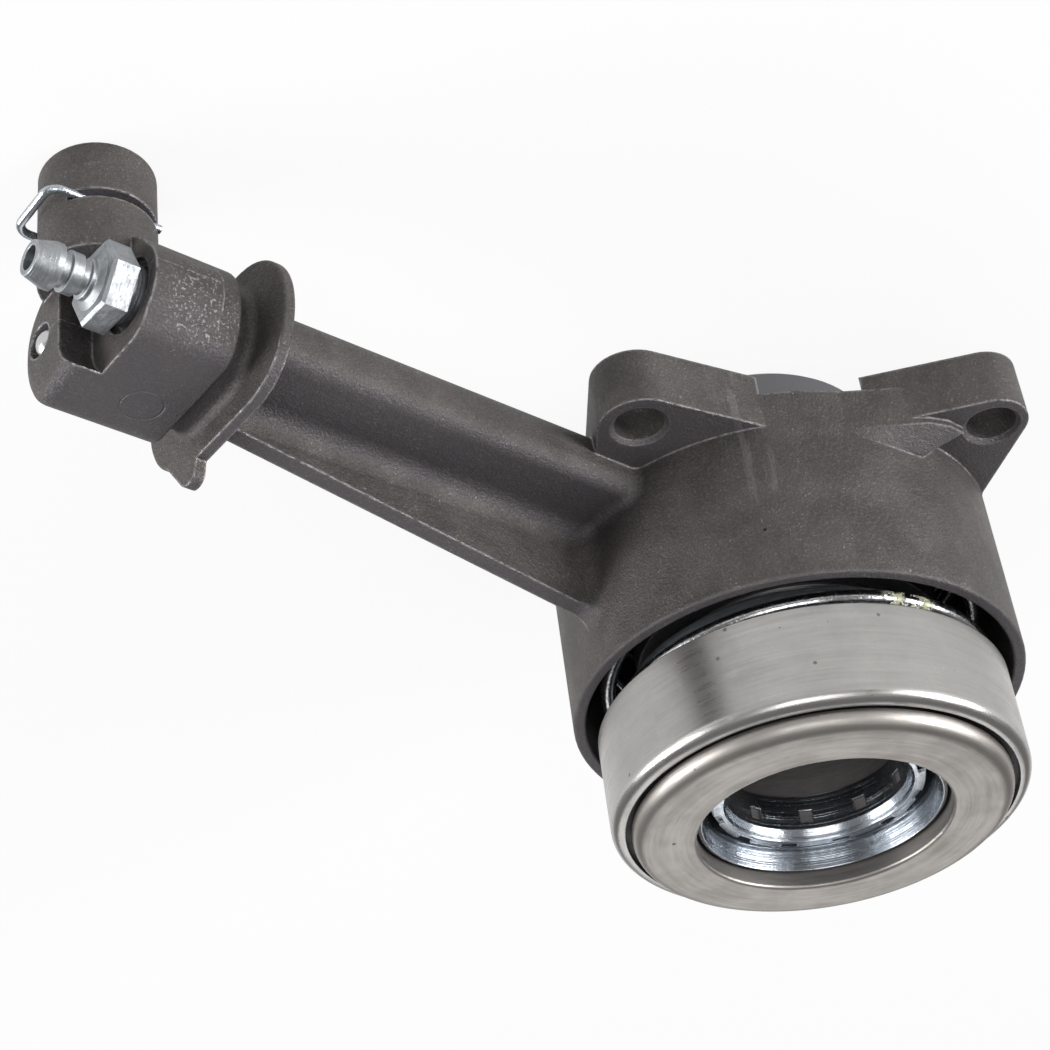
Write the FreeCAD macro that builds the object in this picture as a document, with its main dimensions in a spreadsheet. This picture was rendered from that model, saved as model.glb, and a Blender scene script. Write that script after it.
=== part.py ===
import FreeCAD, Part
import math
import os
import re

import Sketcher

# Concentric clutch slave cylinder in millimetres. The bearing axis is Z, the origin lies on it in
# the plane of the three mounting ears, +Z points to the clutch and the feed arm runs along -X.

SIZES = {
    # clearances
    "running_gap": 0.1,
    "press_gap": 0.03,
    "stack_gap": 0.1,
    # guide tube and piston, which set the radii of everything round them
    "tube_inner": 13.45,
    "tube_wall": 0.85,
    "tube_reach": 4.3,
    "tube_flange_thick": 0.8,
    "piston_wall": 4.65,
    "piston_room": 20.0,
    "piston_length": 22.1,
    "piston_nose_wall": 0.95,
    "piston_relief_depth": 0.8,
    "piston_relief_land": 5.0,
    "support_ring_thick": 0.8,
    "lip_seal_length": 4.2,
    "lip_seal_gap": 0.25,
    "lip_seal_groove": 2.4,
    "lip_seal_web": 1.3,
    # turned part of the housing
    "back_face": 3.3,
    "back_thick": 6.2,
    "skirt_wall": 1.8,
    "skirt_depth": 25.1,
    "skirt_gap": 2.55,
    "skirt_edge_round": 0.4,
    "cylinder_wall": 3.45,
    "cylinder_rise": 17.0,
    "chamber_floor": 2.0,
    "spigot_wall": 2.7,
    "spigot_end": 12.1,
    "spigot_chamfer": 0.8,
    "seal_pocket_step": 2.3,
    "seal_pocket_floor": 4.2,
    "ring_groove_depth": 1.87,
    "ring_groove_width": 2.4,
    "ring_groove_wall": 1.6,
    "ring_section": 0.9,
    # mounting ears
    "ear_reach": 7.95,
    "ear_hole_radius": 3.6,
    "ear_front": 9.0,
    "ear_flank_angle": 32.0,
    "ear_root_depth": 3.35,
    "ear_left_azimuth": 158.6,
    "ear_left_end_radius": 6.0,
    "ear_left_shift": 0.0,
    "ear_right_azimuth": 81.0,
    "ear_right_end_radius": 5.5,
    "ear_right_shift": 0.45,
    "ear_hidden_azimuth": -62.0,
    "ear_hidden_end_radius": 6.0,
    "ear_hidden_shift": 0.0,
    "ear_hole_chamfer": 0.6,
    "ear_skirt_round": 2.5,
    # gusset between the right ear and the skirt
    "gusset_rim": 10.0,
    "gusset_rise": 2.5,
    "gusset_tip_azimuth": 113.0,
    "gusset_notch_azimuth": 93.5,
    "gusset_end_azimuth": 87.8,
    "gusset_bulge": 4.3,
    # feed arm
    "beam_length": 63.15,
    "beam_side": 7.2,
    "beam_far_side": 8.6,
    "beam_back": 2.8,
    "beam_depth": 10.2,
    "beam_back_round": 6.0,
    "beam_front_round": 2.6,
    "beam_skirt_round": 1.6,
    "rib_near": 5.2,
    "rib_thick": 2.6,
    "rib_step": 2.6,
    "rib_rise": 10.6,
    "rib_skirt_round": 3.2,
    # closing plate at the end of the beam
    "plate_thick": 1.6,
    "plate_half_width": 16.9,
    "plate_top": 1.7,
    "plate_top_half": 6.2,
    "plate_shoulder": 12.1,
    "plate_corner_round": 10.8,
    "plate_low": 23.8,
    "plate_tab": 2.8,
    "plate_edge_round": 0.4,
    # neck and head
    "neck_length": 3.2,
    "neck_half_width": 9.8,
    "neck_top": 3.4,
    "neck_low": 19.6,
    "neck_lower_round": 6.5,
    "head_length": 17.5,
    "head_half_width": 12.2,
    "head_top": 2.6,
    "head_parting": 11.6,
    "head_lower_round": 12.05,
    "head_low": 20.3,
    "head_low_half": 9.2,
    "head_side_round": 4.0,
    "head_edge_round": 2.4,
    # quick connector tower and its spring clip
    "port_radius": 5.0,
    "port_depth": 3.0,
    "port_chamfer": 0.7,
    "tower_wall": 2.6,
    "tower_inset": 4.2,
    "tower_foot": 6.0,
    "tower_edge_round": 0.9,
    "clip_wire": 0.6,
    "clip_height": 2.85,
    "clip_inset": 3.0,
    "clip_tip_reach": 6.4,
    "clip_bow_reach": 9.2,
    "clip_bend": 1.9,
    # pocket and boss for the bleed screw
    "bleed_y": 6.5,
    "bleed_drop": 1.0,
    "pocket_depth": 4.65,
    "pocket_left": 2.3,
    "pocket_left_low": 16.0,
    "pocket_low_curve": 7.0,
    "pocket_low_y": 1.6,
    "boss_radius": 6.9,
    "boss_length": 9.6,
    "boss_mouth_radius": 5.0,
    "boss_mouth_depth": 1.0,
    "bleed_hole_depth": 6.65,
    "bleed_seat_radius": 1.4,
    "bleed_seat_depth": 2.4,
    # drilled galleries
    "gallery_radius": 1.5,
    "main_plug_y": 7.3,
    "main_end_y": 1.0,
    "main_end_rise": 3.0,
    "cross_inset": 7.8,
    "cross_end_y": 5.0,
    "feed_inset": 2.1,
    "feed_radius": 2.0,
    "feed_length": 9.5,
    "plug_radius": 2.35,
    "plug_seat_depth": 4.4,
    "plug_sink": 2.1,
    # bleed screw
    "screw_stem_radius": 4.0,
    "screw_stem_chamfer": 0.6,
    "screw_cone_length": 2.4,
    "screw_tip_radius": 0.75,
    "screw_seat_bite": 0.4,
    "screw_shoulder": 1.45,
    "screw_hex_flats": 9.8,
    "screw_hex_height": 3.4,
    "screw_hex_chamfer": 0.4,
    "screw_hex_turn": 24.0,
    "screw_neck_radius": 2.7,
    "screw_groove_depth": 0.45,
    "screw_groove_width": 0.7,
    "screw_barb_radius": 3.05,
    "screw_barb_length": 3.6,
    "screw_end_radius": 2.3,
    "screw_length": 13.35,
    "screw_bore_radius": 1.65,
    "screw_bore_depth": 15.0,
    # stop ring in the guide tube
    "stop_wall": 0.57,
    "stop_throat_wall": 0.44,
    "stop_length": 5.6,
    "stop_tab_reach": 0.8,
    "stop_tab_thick": 0.6,
    "stop_tab_count": 12,
    "stop_notch_width": 2.6,
    "stop_notch_phase": -94.0,
    "stop_window_count": 10,
    "stop_window_size": 1.9,
    "stop_window_inset": 2.3,
    "stop_window_phase": -88.0,
    # shaft seal
    "seal_case_wall": 0.9,
    "seal_case_inset": 0.8,
    "seal_case_lap": 0.15,
    "seal_lip_reach": 2.45,
    "seal_lip_inset": 1.2,
    "seal_lip_land": 1.2,
    "garter_offset": 1.95,
    "garter_section": 0.45,
    "garter_inset": 1.3,
    # preload spring and its seats
    "spring_seat_thick": 0.9,
    "spring_seat_gap": 1.5,
    "spring_seat_rim": 3.0,
    "spring_seat_margin": 0.45,
    "spring_wire": 1.2,
    "spring_gap": 1.25,
    "spring_turns": 4.5,
    "cup_thick": 1.1,
    "cup_gap": 1.25,
    "cup_hub_length": 6.7,
    "cup_setback": 5.9,
    # bearing carrier and centring spring
    "carrier_thick": 1.0,
    "carrier_sleeve_gap": 0.3,
    "carrier_rim_gap": 0.2,
    "carrier_lip_gap": 0.46,
    "carrier_lip_setback": 2.3,
    "carrier_lip_wall": 0.6,
    "centring_margin": 0.5,
    "centring_thick": 0.4,
    "centring_rise": 0.8,
    # release bearing
    "ball_radius": 2.7,
    "ball_gap": 0.3,
    "ball_count": 18,
    "groove_bite": 0.25,
    "race_wall": 2.6,
    "race_web": 2.05,
    "race_corner": 1.6,
    "race_overlap": 3.9,
    "race_hub_step": 1.8,
    "cage_gap": 0.35,
    "cage_thick": 1.0,
    "cage_land": 0.5,
    "shell_gap": 0.4,
    "shell_wall": 0.8,
    "shell_rear_lap": 0.6,
    "shell_lid": 2.1,
    "shell_lip": 1.9,
    "shell_round": 1.7,
    "seal_clearance": 0.2,
    "rear_seal_width": 1.7,
    "rear_seal_lip_width": 0.6,
    "thrust_hole_step": 2.81,
    "thrust_hub_drop": 0.7,
    "thrust_collar_step": 0.3,
    "thrust_collar_rise": 2.6,
    "thrust_rim_gap": 0.9,
    "thrust_flange_gap": 1.9,
    "thrust_flange_thick": 2.6,
    "thrust_hole_round": 0.5,
    "thrust_edge_flat": 0.4,
}

# Sizes that follow from the ones above, so that what fits together keeps together.
DERIVED = {
    "tube_outer": "tube_inner + tube_wall",
    "cylinder_radius": "tube_outer + piston_wall + 2 * running_gap",
    "cylinder_outer": "cylinder_radius + cylinder_wall",
    "cavity_floor": "back_face + back_thick",
    "cylinder_front": "cavity_floor + cylinder_rise",
    "seal_pocket_radius": "tube_outer + seal_pocket_step",
    "spigot_radius": "seal_pocket_radius + spigot_wall",
    "tube_flange_radius": "seal_pocket_radius - 2 * stack_gap",
    "ring_groove_radius": "tube_outer + press_gap + ring_groove_depth",
    "ring_groove_low": "chamber_floor - ring_groove_wall - ring_groove_width",
    "piston_rear": "chamber_floor + piston_room",
    "piston_front": "piston_rear + piston_length",
    "piston_nose_radius": "tube_outer + running_gap + piston_nose_wall",
    "piston_nose_front": "tube_front + stop_tab_thick",
    "tube_front": "piston_front + tube_reach",
    "stop_tab_back": "piston_nose_front + 2 * stack_gap",
    "stop_front": "stop_tab_back + stop_tab_thick",
    "cup_hub_inner": "cylinder_outer + cup_gap",
    "cup_hub_outer": "cup_hub_inner + cup_thick",
    "cup_back": "piston_front - cup_setback",
    "cup_front": "cup_back + cup_thick",
    "spring_radius": "cup_hub_outer + spring_gap + spring_wire",
    "spring_outer": "spring_radius + spring_wire",
    "spring_rear": "cavity_floor + spring_seat_thick + stack_gap",
    "skirt_inner": "spring_outer + skirt_gap",
    "skirt_radius": "skirt_inner + skirt_wall",
    "skirt_front": "cavity_floor + skirt_depth",
    "ear_hole_circle": "skirt_radius + ear_reach",
    "ear_root": "skirt_radius - ear_root_depth",
    "plate_front_x": "skirt_radius + beam_length",
    "plate_back_x": "plate_front_x + plate_thick",
    "beam_front": "beam_back + beam_depth",
    "rib_depth_plate": "beam_front + rib_step",
    "rib_depth_skirt": "rib_depth_plate + rib_rise",
    "beam_root_x": "skirt_inner - skirt_wall / 2",
    "head_front_x": "plate_back_x + neck_length",
    "head_end_x": "head_front_x + head_length",
    "head_upper_round": "head_parting - head_top",
    "neck_fillet": "(head_half_width - neck_half_width) / 2",
    "neck_upper_round": "0.8 * neck_half_width",
    "tower_x": "head_end_x - tower_inset",
    "tower_radius": "port_radius + tower_wall",
    "clip_half_width": "tower_radius - clip_inset",
    "clip_tip_x": "tower_x - clip_tip_reach",
    "clip_bow_x": "tower_x + clip_bow_reach",
    "slot_half_width": "clip_half_width - clip_wire - stack_gap",
    "slot_low": "clip_height + clip_wire + stack_gap",
    "slot_high": "clip_height - clip_wire - stack_gap",
    "bleed_z": "head_parting + bleed_drop",
    "pocket_floor_x": "head_end_x - pocket_depth",
    "bleed_hole_radius": "screw_stem_radius + running_gap",
    "cross_x": "head_end_x - cross_inset",
    "feed_x": "tower_x - feed_inset",
    "feed_depth": "port_depth + feed_length",
    "main_end_x": "(tube_outer + cylinder_radius) / 2",
    "main_end_z": "chamber_floor + main_end_rise",
    "seal_case_rear": "spigot_end - seal_case_inset",
    "seal_case_inner": "tube_inner + seal_case_lap",
    "seal_lip_radius": "tube_inner - seal_lip_reach",
    "seal_lip_rear": "spigot_end - seal_lip_inset",
    "garter_radius": "seal_lip_radius + garter_offset",
    "garter_height": "seal_lip_rear - garter_inset",
    "shell_inner": "spring_outer + shell_gap",
    "shell_radius": "shell_inner + shell_wall",
    "rim_radius": "shell_inner - carrier_rim_gap",
    "carrier_back": "cup_front + stack_gap",
    "carrier_front": "carrier_back + carrier_thick",
    "carrier_sleeve": "cylinder_radius - running_gap + carrier_sleeve_gap",
    "carrier_web": "piston_front + stack_gap",
    "carrier_hole": "piston_nose_radius + carrier_sleeve_gap",
    "centring_back": "carrier_front + stack_gap",
    "race_back": "centring_back + centring_rise + centring_thick + stack_gap",
    "race_web_front": "race_back + race_web",
    "race_outer": "shell_inner - stack_gap",
    "race_wall_inner": "race_outer - race_wall",
    "groove_radius": "ball_radius + ball_gap",
    "ball_circle": "race_wall_inner + ball_gap + groove_bite - ball_radius",
    "ball_height": "race_web_front + groove_radius - groove_bite",
    "race_front": "ball_height + race_overlap",
    "race_inner": "ball_circle - race_hub_step",
    "thrust_hole": "piston_nose_radius + thrust_hole_step",
    "thrust_collar_radius": "ball_circle + thrust_collar_step",
    "thrust_hub_rear": "ball_height - thrust_hub_drop",
    "thrust_flange_rear": "race_front + thrust_flange_gap",
    "thrust_face": "thrust_flange_rear + thrust_flange_thick",
    "thrust_edge_round": "thrust_flange_thick - thrust_edge_flat",
    "shell_front": "race_front + shell_lid",
    "shell_opening": "shell_radius - shell_lip",
    "thrust_radius": "shell_opening - thrust_rim_gap",
}

doc = FreeCAD.newDocument("ClutchSlaveCylinder")
sheet = doc.addObject("Spreadsheet::Sheet", "Sizes")
for row, (alias, amount) in enumerate(SIZES.items(), start=1):
    sheet.set(f"A{row}", alias)
    sheet.set(f"B{row}", str(amount))
    sheet.setAlias(f"B{row}", alias)
doc.recompute()

NAME = re.compile(r"\b[a-z_]+\b")
EARS = ("ear_left", "ear_right", "ear_hidden")
SPRING_RISE = "cup_back - stack_gap - spring_rear - 2 * spring_wire"
parts = []


def sized(text):
    """Turn a formula of plain size names into one that reads the sheet."""
    def expand(match):
        name = match.group()
        if name in DERIVED:
            return "(" + sized(DERIVED[name]) + ")"
        return "Sizes." + name if name in SIZES else name

    return NAME.sub(expand, text)


def value(text):
    """Work a formula of plain size names out to a number."""
    return float(sheet.evalExpression(sized(text)))


def new_part(label):
    """Start a sub-part whose label names its node."""
    body = doc.addObject("PartDesign::Body", label)
    body.Label = label
    parts.append(body)
    return body


def origin_feature(body, role):
    """Find an origin plane or axis of a body by its role."""
    return next(f for f in body.Origin.OriginFeatures if f.Role == role)


def attach(body, feature, role, offset="0", turn=None):
    """Lay a sketch or a primitive on an origin plane, offset along its normal and turned in it."""
    feature.AttachmentSupport = [(origin_feature(body, role), "")]
    feature.MapMode = "FlatFace"
    angle = 0 if turn is None else value(turn)
    rotation = FreeCAD.Rotation(FreeCAD.Vector(0, 0, 1), angle)
    feature.AttachmentOffset = FreeCAD.Placement(FreeCAD.Vector(0, 0, value(offset)), rotation)
    feature.setExpression("AttachmentOffset.Base.z", sized(offset))
    if turn is not None:
        feature.setExpression("AttachmentOffset.Rotation.Angle", sized(turn))


def new_sketch(body, name, role, offset="0", turn=None):
    sketch = body.newObject("Sketcher::SketchObject", name)
    attach(body, sketch, role, offset, turn)
    return sketch


def pin_point(sketch, item, end, across, up):
    """Hold one point of a sketch at a place given by two formulas."""
    for kind, formula, axis in (("DistanceX", across, -2), ("DistanceY", up, -1)):
        amount = value(formula)
        if abs(amount) < 1e-9:
            sketch.addConstraint(Sketcher.Constraint("PointOnObject", item, end, axis))
            continue
        index = sketch.addConstraint(Sketcher.Constraint(kind, -1, 1, item, end, amount))
        sketch.setExpression(f"Constraints[{index}]", sized(formula))


def arc_between(start, finish, radius, hollow):
    """Circular arc from start to finish that bulges right of the way, or left if it is hollow."""
    chord = finish - start
    right = FreeCAD.Vector(chord.y, -chord.x, 0) / chord.Length
    side = -1 if hollow else 1
    drop = math.sqrt(max(radius ** 2 - (chord.Length / 2) ** 2, 0))
    centre = (start + finish) / 2 - right * side * drop
    first, last = (finish, start) if hollow else (start, finish)
    begin = math.atan2(first.y - centre.y, first.x - centre.x)
    end = math.atan2(last.y - centre.y, last.x - centre.x)
    if end < begin:
        end += 2 * math.pi
    return Part.ArcOfCircle(Part.Circle(centre, FreeCAD.Vector(0, 0, 1), radius), begin, end)


def draw_path(sketch, corners, closed=True):
    """Draw lines and arcs through corners.

    A corner is (across, up), or (across, up, radius) where an outward arc starts, or
    (across, up, radius, "hollow") where an inward one does. A closed path runs anticlockwise.
    """
    places = [FreeCAD.Vector(value(c[0]), value(c[1]), 0) for c in corners]
    count = len(corners)
    ends = []
    for index in range(count if closed else count - 1):
        corner = corners[index]
        start, finish = places[index], places[(index + 1) % count]
        if len(corner) == 2:
            item = sketch.addGeometry(Part.LineSegment(start, finish))
            ends.append((item, 1, 2))
            continue
        hollow = len(corner) == 4
        item = sketch.addGeometry(arc_between(start, finish, value(corner[2]), hollow))
        ends.append((item, 2, 1) if hollow else (item, 1, 2))
        index_radius = sketch.addConstraint(Sketcher.Constraint("Radius", item, value(corner[2])))
        sketch.setExpression(f"Constraints[{index_radius}]", sized(corner[2]))
    for index, (item, first, last) in enumerate(ends):
        if closed or index + 1 < len(ends):
            following = ends[(index + 1) % len(ends)]
            sketch.addConstraint(Sketcher.Constraint("Coincident", item, last, *following[:2]))
        pin_point(sketch, item, first, corners[index][0], corners[index][1])
    if not closed:
        pin_point(sketch, ends[-1][0], ends[-1][2], corners[-1][0], corners[-1][1])


def draw_circle(sketch, across, up, radius):
    centre = FreeCAD.Vector(value(across), value(up), 0)
    item = sketch.addGeometry(Part.Circle(centre, FreeCAD.Vector(0, 0, 1), value(radius)))
    pin_point(sketch, item, 3, across, up)
    index = sketch.addConstraint(Sketcher.Constraint("Radius", item, value(radius)))
    sketch.setExpression(f"Constraints[{index}]", sized(radius))


def spun(body, name, sketch, kind):
    feature = body.newObject("PartDesign::" + kind, name)
    feature.Profile = sketch
    feature.ReferenceAxis = (sketch, ["V_Axis"])
    feature.Angle = 360
    return feature


def turned(body, name, corners, kind="Revolution"):
    """Turn a section of (radius, height) corners about the Z axis of the body."""
    sketch = new_sketch(body, name + "_section", "XZ_Plane")
    draw_path(sketch, corners)
    return spun(body, name, sketch, kind)


def ring_of_wire(body, name, radius, height, section, kind="Revolution"):
    """Turn a round section about the Z axis of the body."""
    sketch = new_sketch(body, name + "_section", "XZ_Plane")
    draw_circle(sketch, radius, height, section)
    return spun(body, name, sketch, kind)


def padded(body, name, sketch, length, back=False, kind="Pad"):
    """Pad or pocket a sketch by a length."""
    feature = body.newObject("PartDesign::" + kind, name)
    feature.Profile = sketch
    feature.Reversed = back
    feature.setExpression("Length", sized(length))
    return feature


def ball(body, name, kind, radius, x, y, z):
    """Full ball, added or cut, at a place given by three formulas."""
    feature = body.newObject("PartDesign::" + kind, name)
    attach(body, feature, "XY_Plane", z)
    feature.setExpression("AttachmentOffset.Base.x", sized(x))
    feature.setExpression("AttachmentOffset.Base.y", sized(y))
    feature.setExpression("Radius", sized(radius))
    return feature


def around(body, name, feature, count):
    """Repeat a feature evenly about the Z axis."""
    pattern = body.newObject("PartDesign::PolarPattern", name)
    pattern.Originals = [feature]
    pattern.Axis = (origin_feature(body, "Z_Axis"), [""])
    pattern.Angle = 360
    pattern.setExpression("Occurrences", sized(count))
    body.Tip = pattern
    return pattern


def edges_where(shape, test):
    return [
        f"Edge{i}"
        for i, edge in enumerate(shape.Edges, start=1)
        if not edge.Degenerated and test(edge)
    ]


def softened(body, name, kind, amount, test):
    """Round or chamfer the edges of the tip that pass a test."""
    doc.recompute()
    base = body.Tip
    names = edges_where(base.Shape, test)
    if not names:
        raise ValueError(f"{name}: no edge found")
    feature = body.newObject("PartDesign::" + kind, name)
    feature.Base = (base, names)
    feature.setExpression("Radius" if kind == "Fillet" else "Size", sized(amount))
    return feature


def near(edge, x=None, y=None, z=None, slack=0.02):
    """Tell whether every end of an edge lies at the given places."""
    for vertex in edge.Vertexes:
        for wanted, found in ((x, vertex.Point.x), (y, vertex.Point.y), (z, vertex.Point.z)):
            if wanted is not None and abs(found - wanted) > slack:
                return False
    return True


def polar(radius, angle):
    """Corner at a radius and an angle from the X axis."""
    return f"({radius}) * cos({angle})", f"({radius}) * sin({angle})"


def housing_turned(body):
    """Solid drum with the spigot, turned round the bearing axis."""
    turned(body, "turned_casting", [
        ("tube_outer + press_gap", "-spigot_end"),
        ("spigot_radius - spigot_chamfer", "-spigot_end"),
        ("spigot_radius", "-spigot_end + spigot_chamfer"),
        ("spigot_radius", "back_face"),
        ("skirt_radius", "back_face"),
        ("skirt_radius", "skirt_front"),
        ("tube_outer + press_gap", "skirt_front"),
    ])


def housing_ears(body):
    """Three ears with tangent flanks, flush at the mounting plane."""
    for name in EARS:
        end, shift = f"{name}_end_radius", f"{name}_shift"
        touch_x = f"ear_hole_circle + {end} * sin(ear_flank_angle)"
        touch_y = f"{end} * cos(ear_flank_angle)"
        root_y = f"{touch_y} + ({touch_x} - ear_root) * tan(ear_flank_angle)"
        sketch = new_sketch(body, name + "_outline", "XY_Plane", turn=name + "_azimuth")
        draw_path(sketch, [
            ("ear_root", f"{shift} - ({root_y})"),
            (touch_x, f"{shift} - ({touch_y})", end),
            (touch_x, f"{shift} + {touch_y}"),
            ("ear_root", f"{shift} + {root_y}"),
        ])
        padded(body, name, sketch, "ear_front")


def housing_ear_edges(body):
    """Rounds where the flanks of the ears meet the skirt."""
    front, back = value("ear_front"), value("back_face")
    softened(body, "ear_skirt_round", "Fillet", "ear_skirt_round",
             lambda edge: on_skirt(edge) and edge.Curve.TypeId == "Part::GeomLine"
             and {round(v.Point.z, 3) for v in edge.Vertexes} == {front, back})


def housing_gusset(body):
    """Gusset that joins the right ear to the skirt, with a front face that slopes outwards."""
    inner_tip = polar("skirt_radius - gusset_bulge", "gusset_tip_azimuth")
    low = [
        polar("skirt_radius", "gusset_tip_azimuth"),
        inner_tip,
        polar("skirt_radius - 0.75 * skirt_wall", "gusset_end_azimuth"),
        polar("skirt_radius + 1.2 * gusset_bulge", "gusset_end_azimuth - 2"),
        polar("skirt_radius + 1.2 * gusset_bulge", "gusset_end_azimuth + 2.6"),
        polar("skirt_radius + gusset_bulge", "gusset_notch_azimuth + 1.9"),
    ]
    high = [
        polar("skirt_radius - 0.08 * gusset_bulge", "gusset_tip_azimuth"),
        inner_tip,
        polar("skirt_radius - 0.75 * skirt_wall", "gusset_notch_azimuth - 1"),
        polar("skirt_radius + 0.08 * gusset_bulge", "gusset_notch_azimuth - 1"),
        polar("skirt_radius + 0.09 * gusset_bulge", "gusset_notch_azimuth"),
        polar("skirt_radius + 0.08 * gusset_bulge", "gusset_notch_azimuth + 1.9"),
    ]
    base = new_sketch(body, "gusset_outline", "XY_Plane", "back_face")
    draw_path(base, low)
    padded(body, "gusset", base, "gusset_rim - back_face")
    foot = new_sketch(body, "gusset_slope_foot", "XY_Plane", "gusset_rim")
    draw_path(foot, low)
    top = new_sketch(body, "gusset_slope_top", "XY_Plane", "gusset_rim + gusset_rise")
    draw_path(top, high)
    slope = body.newObject("PartDesign::AdditiveLoft", "gusset_slope")
    slope.Profile = foot
    slope.Sections = [top]
    slope.Ruled = True


def inside(edge, name):
    """Tell whether an edge lies within the section of the beam or the neck."""
    reach, top, low = {
        "beam": ("beam_far_side", "beam_back", "rib_depth_plate"),
        "neck": ("neck_half_width", "neck_top", "neck_low"),
    }[name]
    return all(
        abs(v.Point.y) < value(reach) + 0.1
        and value(top) - 0.1 < v.Point.z < value(low) + 0.1
        for v in edge.Vertexes
    )


def on_skirt(edge):
    """Tell whether both ends of an edge lie on the outside of the skirt."""
    wanted = value("skirt_radius")
    return all(abs(math.hypot(v.Point.x, v.Point.y) - wanted) < 0.02 for v in edge.Vertexes)


def housing_arm(body):
    """Beam, side rib, closing plate and neck of the feed arm."""
    beam = new_sketch(body, "beam_outline", "YZ_Plane", "-plate_front_x")
    draw_path(beam, [
        ("-beam_far_side + beam_back_round", "beam_back"),
        ("beam_side - beam_back_round", "beam_back", "beam_back_round"),
        ("beam_side", "beam_back + beam_back_round"),
        ("beam_side", "beam_front - beam_front_round", "beam_front_round"),
        ("beam_side - beam_front_round", "beam_front"),
        ("-beam_far_side", "beam_front"),
        ("-beam_far_side", "beam_back + beam_back_round", "beam_back_round"),
    ])
    padded(body, "beam", beam, "plate_front_x - beam_root_x")
    rib = new_sketch(body, "rib_outline", "XZ_Plane", "rib_near")
    draw_path(rib, [
        ("-plate_front_x", "beam_front - beam_front_round"),
        ("-beam_root_x", "beam_front - beam_front_round"),
        ("-beam_root_x", "rib_depth_skirt"),
        ("-plate_front_x", "rib_depth_plate"),
    ])
    padded(body, "rib", rib, "rib_thick")
    west = value("-beam_root_x")
    softened(body, "beam_skirt_round", "Fillet", "beam_skirt_round",
             lambda edge: on_skirt(edge) and all(v.Point.x < west for v in edge.Vertexes)
             and all(v.Point.z <= value("beam_front") + 0.01 for v in edge.Vertexes)
             and all(v.Point.y > -value("rib_near") - 0.01 for v in edge.Vertexes))
    softened(body, "rib_skirt_round", "Fillet", "rib_skirt_round",
             lambda edge: on_skirt(edge) and all(v.Point.x < west for v in edge.Vertexes)
             and all(v.Point.z > value("beam_front") + 1 for v in edge.Vertexes)
             and any(abs(v.Point.y + value("rib_near")) < 0.02 for v in edge.Vertexes)
             and edge.Curve.TypeId != "Part::GeomCircle")
    plate = new_sketch(body, "plate_outline", "YZ_Plane", "-plate_front_x")
    draw_path(plate, [
        ("-plate_top_half", "plate_top"),
        ("plate_top_half", "plate_top", "plate_corner_round"),
        ("plate_half_width", "plate_shoulder", "1.3 * plate_corner_round"),
        ("plate_half_width - 0.6", "plate_shoulder + 4.7", "0.8 * plate_corner_round"),
        ("plate_half_width - 2.7", "plate_low - 3.2", "0.7 * plate_corner_round"),
        ("plate_half_width - 6.4", "plate_low - 0.6", "plate_corner_round"),
        ("plate_top_half", "plate_low"),
        ("-plate_half_width + 12", "plate_low"),
        ("-plate_half_width + 11.6", "plate_low + plate_tab - 1", "1.6"),
        ("-plate_half_width + 9.7", "plate_low + plate_tab", "1.6"),
        ("-plate_half_width + 8.4", "plate_low + plate_tab - 0.7"),
        ("-plate_half_width + 5.7", "plate_low - 1.9"),
        ("-plate_half_width + 3.5", "plate_low - 4", "0.8 * plate_corner_round"),
        ("-plate_half_width + 1.7", "plate_low - 7", "plate_corner_round"),
        ("-plate_half_width + 0.9", "plate_shoulder + 1.4", "plate_corner_round"),
    ])
    padded(body, "closing_plate", plate, "plate_thick", back=True)
    front, back, low = value("plate_front_x"), value("plate_back_x"), value("plate_low - 1.5")
    softened(body, "plate_edges", "Fillet", "plate_edge_round",
             lambda edge: all(v.Point.z < low for v in edge.Vertexes)
             and (near(edge, x=-back) or (near(edge, x=-front) and not inside(edge, "beam"))))
    neck = new_sketch(body, "neck_outline", "YZ_Plane", "-plate_back_x")
    draw_path(neck, [
        ("-neck_half_width + neck_upper_round", "neck_top"),
        ("neck_half_width - neck_upper_round", "neck_top", "neck_upper_round"),
        ("neck_half_width", "neck_top + neck_upper_round"),
        ("neck_half_width", "neck_low - neck_lower_round", "neck_lower_round"),
        ("neck_half_width - neck_lower_round", "neck_low"),
        ("-neck_half_width + neck_lower_round", "neck_low", "neck_lower_round"),
        ("-neck_half_width", "neck_low - neck_lower_round"),
        ("-neck_half_width", "neck_top + neck_upper_round", "neck_upper_round"),
    ])
    padded(body, "neck", neck, "neck_length + 1", back=True)
    softened(body, "neck_plate_round", "Fillet", "neck_fillet",
             lambda edge: near(edge, x=-back) and inside(edge, "neck"))


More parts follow.
